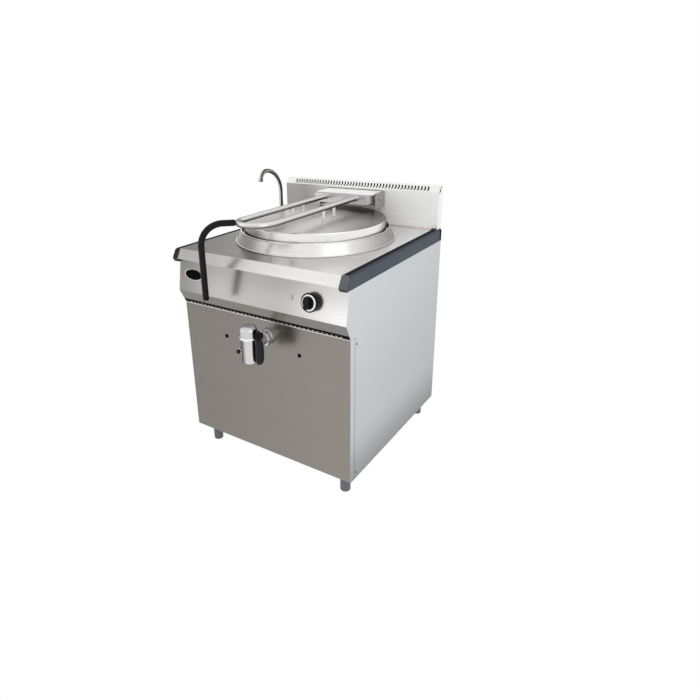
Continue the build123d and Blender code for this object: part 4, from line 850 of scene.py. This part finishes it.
class KETTLE_OT_vents(Operator):
    """Add a black piece in every vent as painted shade, and a bright strip on every vent's pressed lip as a
    painted highlight
    """

    bl_idname = "kettle.vents"
    bl_label = "Vents"

    def execute(self, context):
        dark = shade_black("vent shade black")
        bright = moulded("vent lip highlight", (0.9, 0.9, 0.89), 0.3, 0.7)
        out = ACROSS.cross(RETURN_UP)
        row_start = RETURN_FOOT + VENT_DROP * RETURN_UP + (VENT_END_INSET - HALF_WIDTH) * ACROSS
        # black piece in each vent: painted shade where the openings are dark
        shade_setback = 0.0012
        shade_slant = Matrix.Rotation(math.radians(-35), 4, "Z")
        vent_shade_piece = strip("vent_shade_1", 0.0148, 0.0048, 0.0010, 0.0003)
        place = face_frame(row_start - shade_setback * out, RETURN_UP) @ shade_slant
        settle(vent_shade_piece, place, "cabinet", "black_plastic", dark)
        # bright strip below each vent: painted highlight on its lip
        lip_drop = 0.0078
        lip = strip("vent_lip_highlight_1", 0.009, 0.0024, 0.0009, 0.0003)
        place = face_frame(row_start - lip_drop * RETURN_UP, RETURN_UP)
        settle(lip, place, "cabinet", "stainless_satin", bright)
        pitch = 2 * (HALF_WIDTH - VENT_END_INSET) / (VENT_COUNT - 1)
        for number in range(2, VENT_COUNT + 1):
            shift = (pitch * (number - 1), 0.0, 0.0)
            copy_piece(vent_shade_piece, f"vent_shade_{number}", shift, "cabinet")
            copy_piece(lip, f"vent_lip_highlight_{number}", shift, "cabinet")
        return {"FINISHED"}


class KETTLE_OT_front_edge(Operator):
    """Add a bright strip as a painted highlight on the folded edge of the front sheet, and a black strip as
    painted shadow in the gap above it
    """

    bl_idname = "kettle.front_edge"
    bl_label = "Front edge"

    def execute(self, context):
        # painted highlight: a bright strip along the front sheet's top edge; painted shadow: a black strip in
        # the gap above it
        bright = moulded("edge highlight", (0.92, 0.92, 0.91), 0.3, 0.6)
        dark = shade_black("gap shadow black")
        edge_drop = 0.0013
        edge = strip("front_edge", 1.99 * HALF_WIDTH, 0.0022, 0.0007, 0.0002)
        place = face_frame(RETURN_FOOT - edge_drop * Vector(UP), Vector(UP))
        settle(edge, place, "cabinet", "stainless_satin", bright)
        gap_rise = 0.0026
        gap = strip("shadow_gap", 1.98 * HALF_WIDTH, 0.0030, 0.0006, 0.0002)
        place = face_frame(RETURN_FOOT + gap_rise * RETURN_UP, RETURN_UP)
        settle(gap, place, "cabinet", "black_plastic", dark)
        return {"FINISHED"}


class KETTLE_OT_louvre_shade(Operator):
    """Add a dark sheet behind the louvres as painted shade"""

    bl_idname = "kettle.louvre_baffle"
    bl_label = "Louvre shade"

    def execute(self, context):
        # painted shade: a black sheet just behind the louvre openings
        dark = shade_black("louvre shade black")
        row = strip("louvre_baffle", 1.8 * HALF_WIDTH, 0.026, 0.0008, 0.0002)
        middle = CHAMFER_FOOT + Vector((0.0, LOUVRE_SETBACK, LOUVRE_DROP)) / 2
        setback = 0.0011
        place = middle - setback * ACROSS.cross(CHAMFER_UP)
        settle(row, face_frame(place, CHAMFER_UP), "cabinet", "black_plastic", dark)
        return {"FINISHED"}


class KETTLE_OT_side_screws(Operator):
    """Add the screws that hold the side panels"""

    bl_idname = "kettle.side_screws"
    bl_label = "Side screws"

    def execute(self, context):
        radius = context.scene.kettle_details.screw_radius
        finish = moulded("screw steel", (0.25, 0.25, 0.25), 0.3, 1.0, edge=0.2)
        rise = radius / 2
        steps = [(radius, 0.0), (radius, 0.25 * rise), (0.85 * radius, 0.8 * rise), (0.5 * radius, rise),
                 (0.45 * radius, 0.4 * rise)]
        behind_front = 0.042
        for side, sign in (("right", 1.0), ("left", -1.0)):
            for level, height in (("upper", FRONT_HIGH.z - 0.029), ("lower", FRONT_LOW.z + 0.026)):
                screw = stack(f"side_screw_{side}_{level}", steps, 20)
                place = (sign * HALF_WIDTH, FRONT_LOW.y + behind_front, height)
                settle(screw, axis_frame(place, (sign, 0.0, 0.0)), "cabinet", "stainless_satin", finish)
        return {"FINISHED"}


class KETTLE_OT_lid_welds(Operator):
    """Add the weld beads round the posts and the arm ends"""

    bl_idname = "kettle.lid_welds"
    bl_label = "Lid welds"

    def execute(self, context):
        width = context.scene.kettle_details.weld_width
        finish = moulded("weld steel", steel(0.68), 0.3, 1.0, edge=0.3)
        for number in range(1, 5):
            low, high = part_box(f"lid_post_{number}")
            radius = (high.x - low.x) / 2
            foot = Vector(((low.x + high.x) / 2, (low.y + high.y) / 2, low.z))
            bead = stack(f"post_bead_{number}", [
                (radius + width, 0.0), (radius + 0.8 * width, 0.4 * width),
                (radius + 0.3 * width, 0.8 * width), (radius + 0.1 * width, width)], 32)
            settle(bead, axis_frame(foot, UP), "lid", "stainless_satin", finish)
        low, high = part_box("lid_arms")
        bar_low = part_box("crossbar")[0]
        radius = (high.z - low.z) / 2
        for side, x in (("left", low.x + radius), ("right", high.x - radius)):
            bead = stack(f"arm_bead_{side}", [
                (radius + width, 0.0), (radius + 0.7 * width, 0.6 * width),
                (radius + 0.2 * width, width)], 40)
            place = (x, bar_low.y, (low.z + high.z) / 2)
            settle(bead, axis_frame(place, (0.0, -1.0, 0.0)), "lid", "stainless_satin", finish)
        return {"FINISHED"}


class KETTLE_OT_joint_strip(Operator):
    """Add the joint strip between worktop and backsplash"""

    bl_idname = "kettle.joint_strip"
    bl_label = "Joint strip"

    def execute(self, context):
        sizes = context.scene.kettle_details
        finish = brushed_steel("strip steel", (0.74, 0.70, 0.60), ALONG_X, 0.3, metallic=0.6)
        end_gap = 0.005
        length = TOP_HIGH.x - TOP_LOW.x - 2 * end_gap
        bar = strip("joint_strip", length, sizes.strip_depth, sizes.strip_height, 0.001)
        rear_gap = 0.0003
        place = Matrix.Translation((0.0, SPLASH_LOW.y - sizes.strip_depth / 2 - rear_gap, TOP_Z))
        settle(bar, place, "cabinet", "stainless_satin", finish)
        return {"FINISHED"}


class KETTLE_OT_drain_grip(Operator):
    """Replace the drain tap's grip by its bowed moulding"""

    bl_idname = "kettle.drain_grip"
    bl_label = "Drain grip"

    def execute(self, context):
        low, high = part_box("drain_grip")
        middle = (low + high) / 2
        depth, thickness = high.y - low.y, high.x - low.x
        length = high.z - low.z
        # share of the length from the top, of the depth and of the thickness, and the bow outwards
        sections = (
            (0.00, 0.30, 0.70, 0.00), (0.02, 0.38, 1.00, 0.00), (0.24, 0.40, 1.10, 0.02),
            (0.32, 0.62, 1.16, 0.06), (0.44, 0.84, 1.20, 0.10), (0.60, 0.97, 1.22, 0.12),
            (0.80, 1.00, 1.18, 0.08), (0.93, 0.90, 1.05, 0.02), (0.985, 0.66, 0.75, 0.00),
            (1.00, 0.36, 0.40, 0.00))
        clear_selection()
        bpy.ops.mesh.primitive_circle_add(vertices=40, radius=0.5, fill_type="NGON")
        grip = context.object
        grip.name = "bowed_grip"
        bpy.ops.object.mode_set(mode="EDIT")
        bpy.ops.mesh.select_mode(type="FACE")
        bpy.ops.mesh.select_all(action="SELECT")
        bpy.ops.transform.resize(value=(sections[0][2] * thickness, sections[0][1] * depth, 1.0))
        for last, section in zip(sections, sections[1:]):
            step = (section[0] - last[0]) * length
            shift = (section[3] - last[3]) * thickness
            bpy.ops.mesh.extrude_region_move(TRANSFORM_OT_translate={"value": (shift, 0.0, -step)})
            bpy.ops.transform.resize(value=(section[2] / last[2], section[1] / last[1], 1.0))
        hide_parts("drain_grip")
        black = moulded("grip moulding", finishes().moulding_black, 0.35, specular=0.2)
        settle(grip, Matrix.Translation((middle.x, middle.y, high.z)), "drain_lever", "black_plastic", black)
        return {"FINISHED"}


class KETTLE_OT_cap_rim(Operator):
    """Add the rolled rim of the drain tap's cap"""

    bl_idname = "kettle.cap_rim"
    bl_label = "Cap rim"

    def execute(self, context):
        low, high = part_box("drain_cap")
        radius = (high.y - low.y) / 2
        roll = 0.0028
        chrome = moulded("rim chrome", steel(0.95), 0.12, 0.7, 0.02, bump=0.02, edge=0.05)
        rim = stack("cap_rim", [
            (radius - roll, 0.0), (radius + 0.6 * roll, 0.2 * roll), (radius + roll, 0.9 * roll),
            (radius + roll, 2.4 * roll), (radius + 0.5 * roll, 3.0 * roll),
            (radius - 0.4 * roll, 3.2 * roll)], 64)
        place = (low.x + radius, (low.y + high.y) / 2, low.z)
        settle(rim, axis_frame(place, UP), "drain_lever", "chrome_plate", chrome)
        return {"FINISHED"}


class KETTLE_OT_knob_mark(Operator):
    """Add the red index of the selector knob"""

    bl_idname = "kettle.knob_mark"
    bl_label = "Knob mark"

    def execute(self, context):
        low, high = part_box("knob_ring")
        centre = (low + high) / 2
        radius = (high.x - low.x) / 2
        out = ACROSS.cross(CONTROL_UP)
        red = moulded("index red", (0.55, 0.03, 0.03), 0.4)
        index = strip("knob_index", 0.0045, 0.0022, 0.0006, 0.0002)
        place = centre + 0.77 * radius * ACROSS + 0.0020 * out
        settle(index, face_frame(place, CONTROL_UP), "selector_knob", "black_plastic", red)
        return {"FINISHED"}


class KETTLE_PT_parts(Panel):
    """Lists the steps that build the kettle"""

    bl_idname = "KETTLE_PT_parts"
    bl_label = "Kettle"
    bl_space_type = "VIEW_3D"
    bl_region_type = "UI"
    bl_category = "Kettle"

    def draw(self, context):
        for step in STEPS:
            self.layout.operator(step.bl_idname)


STEPS = (
    KETTLE_OT_stage,
    KETTLE_OT_finishes,
    KETTLE_OT_badge,
    KETTLE_OT_vents,
    KETTLE_OT_front_edge,
    KETTLE_OT_louvre_shade,
    KETTLE_OT_side_screws,
    KETTLE_OT_lid_welds,
    KETTLE_OT_joint_strip,
    KETTLE_OT_drain_grip,
    KETTLE_OT_cap_rim,
    KETTLE_OT_knob_mark,
)
CLASSES = (StageSettings, KettleFinishes, KettleDetails, *STEPS, KETTLE_PT_parts)


def register():
    for cls in CLASSES:
        bpy.utils.register_class(cls)
    bpy.types.Scene.kettle_stage = PointerProperty(type=StageSettings)
    bpy.types.Scene.kettle_finishes = PointerProperty(type=KettleFinishes)
    bpy.types.Scene.kettle_details = PointerProperty(type=KettleDetails)


def unregister():
    del bpy.types.Scene.kettle_details
    del bpy.types.Scene.kettle_finishes
    del bpy.types.Scene.kettle_stage
    for cls in reversed(CLASSES):
        bpy.utils.unregister_class(cls)


def main():
    register()
    bpy.ops.kettle.stage()
    bpy.ops.kettle.finishes()
    bpy.ops.kettle.badge()
    bpy.ops.kettle.vents()
    bpy.ops.kettle.front_edge()
    bpy.ops.kettle.louvre_baffle()
    bpy.ops.kettle.side_screws()
    bpy.ops.kettle.lid_welds()
    bpy.ops.kettle.joint_strip()
    bpy.ops.kettle.drain_grip()
    bpy.ops.kettle.cap_rim()
    bpy.ops.kettle.knob_mark()


if __name__ == "__main__":
    main()
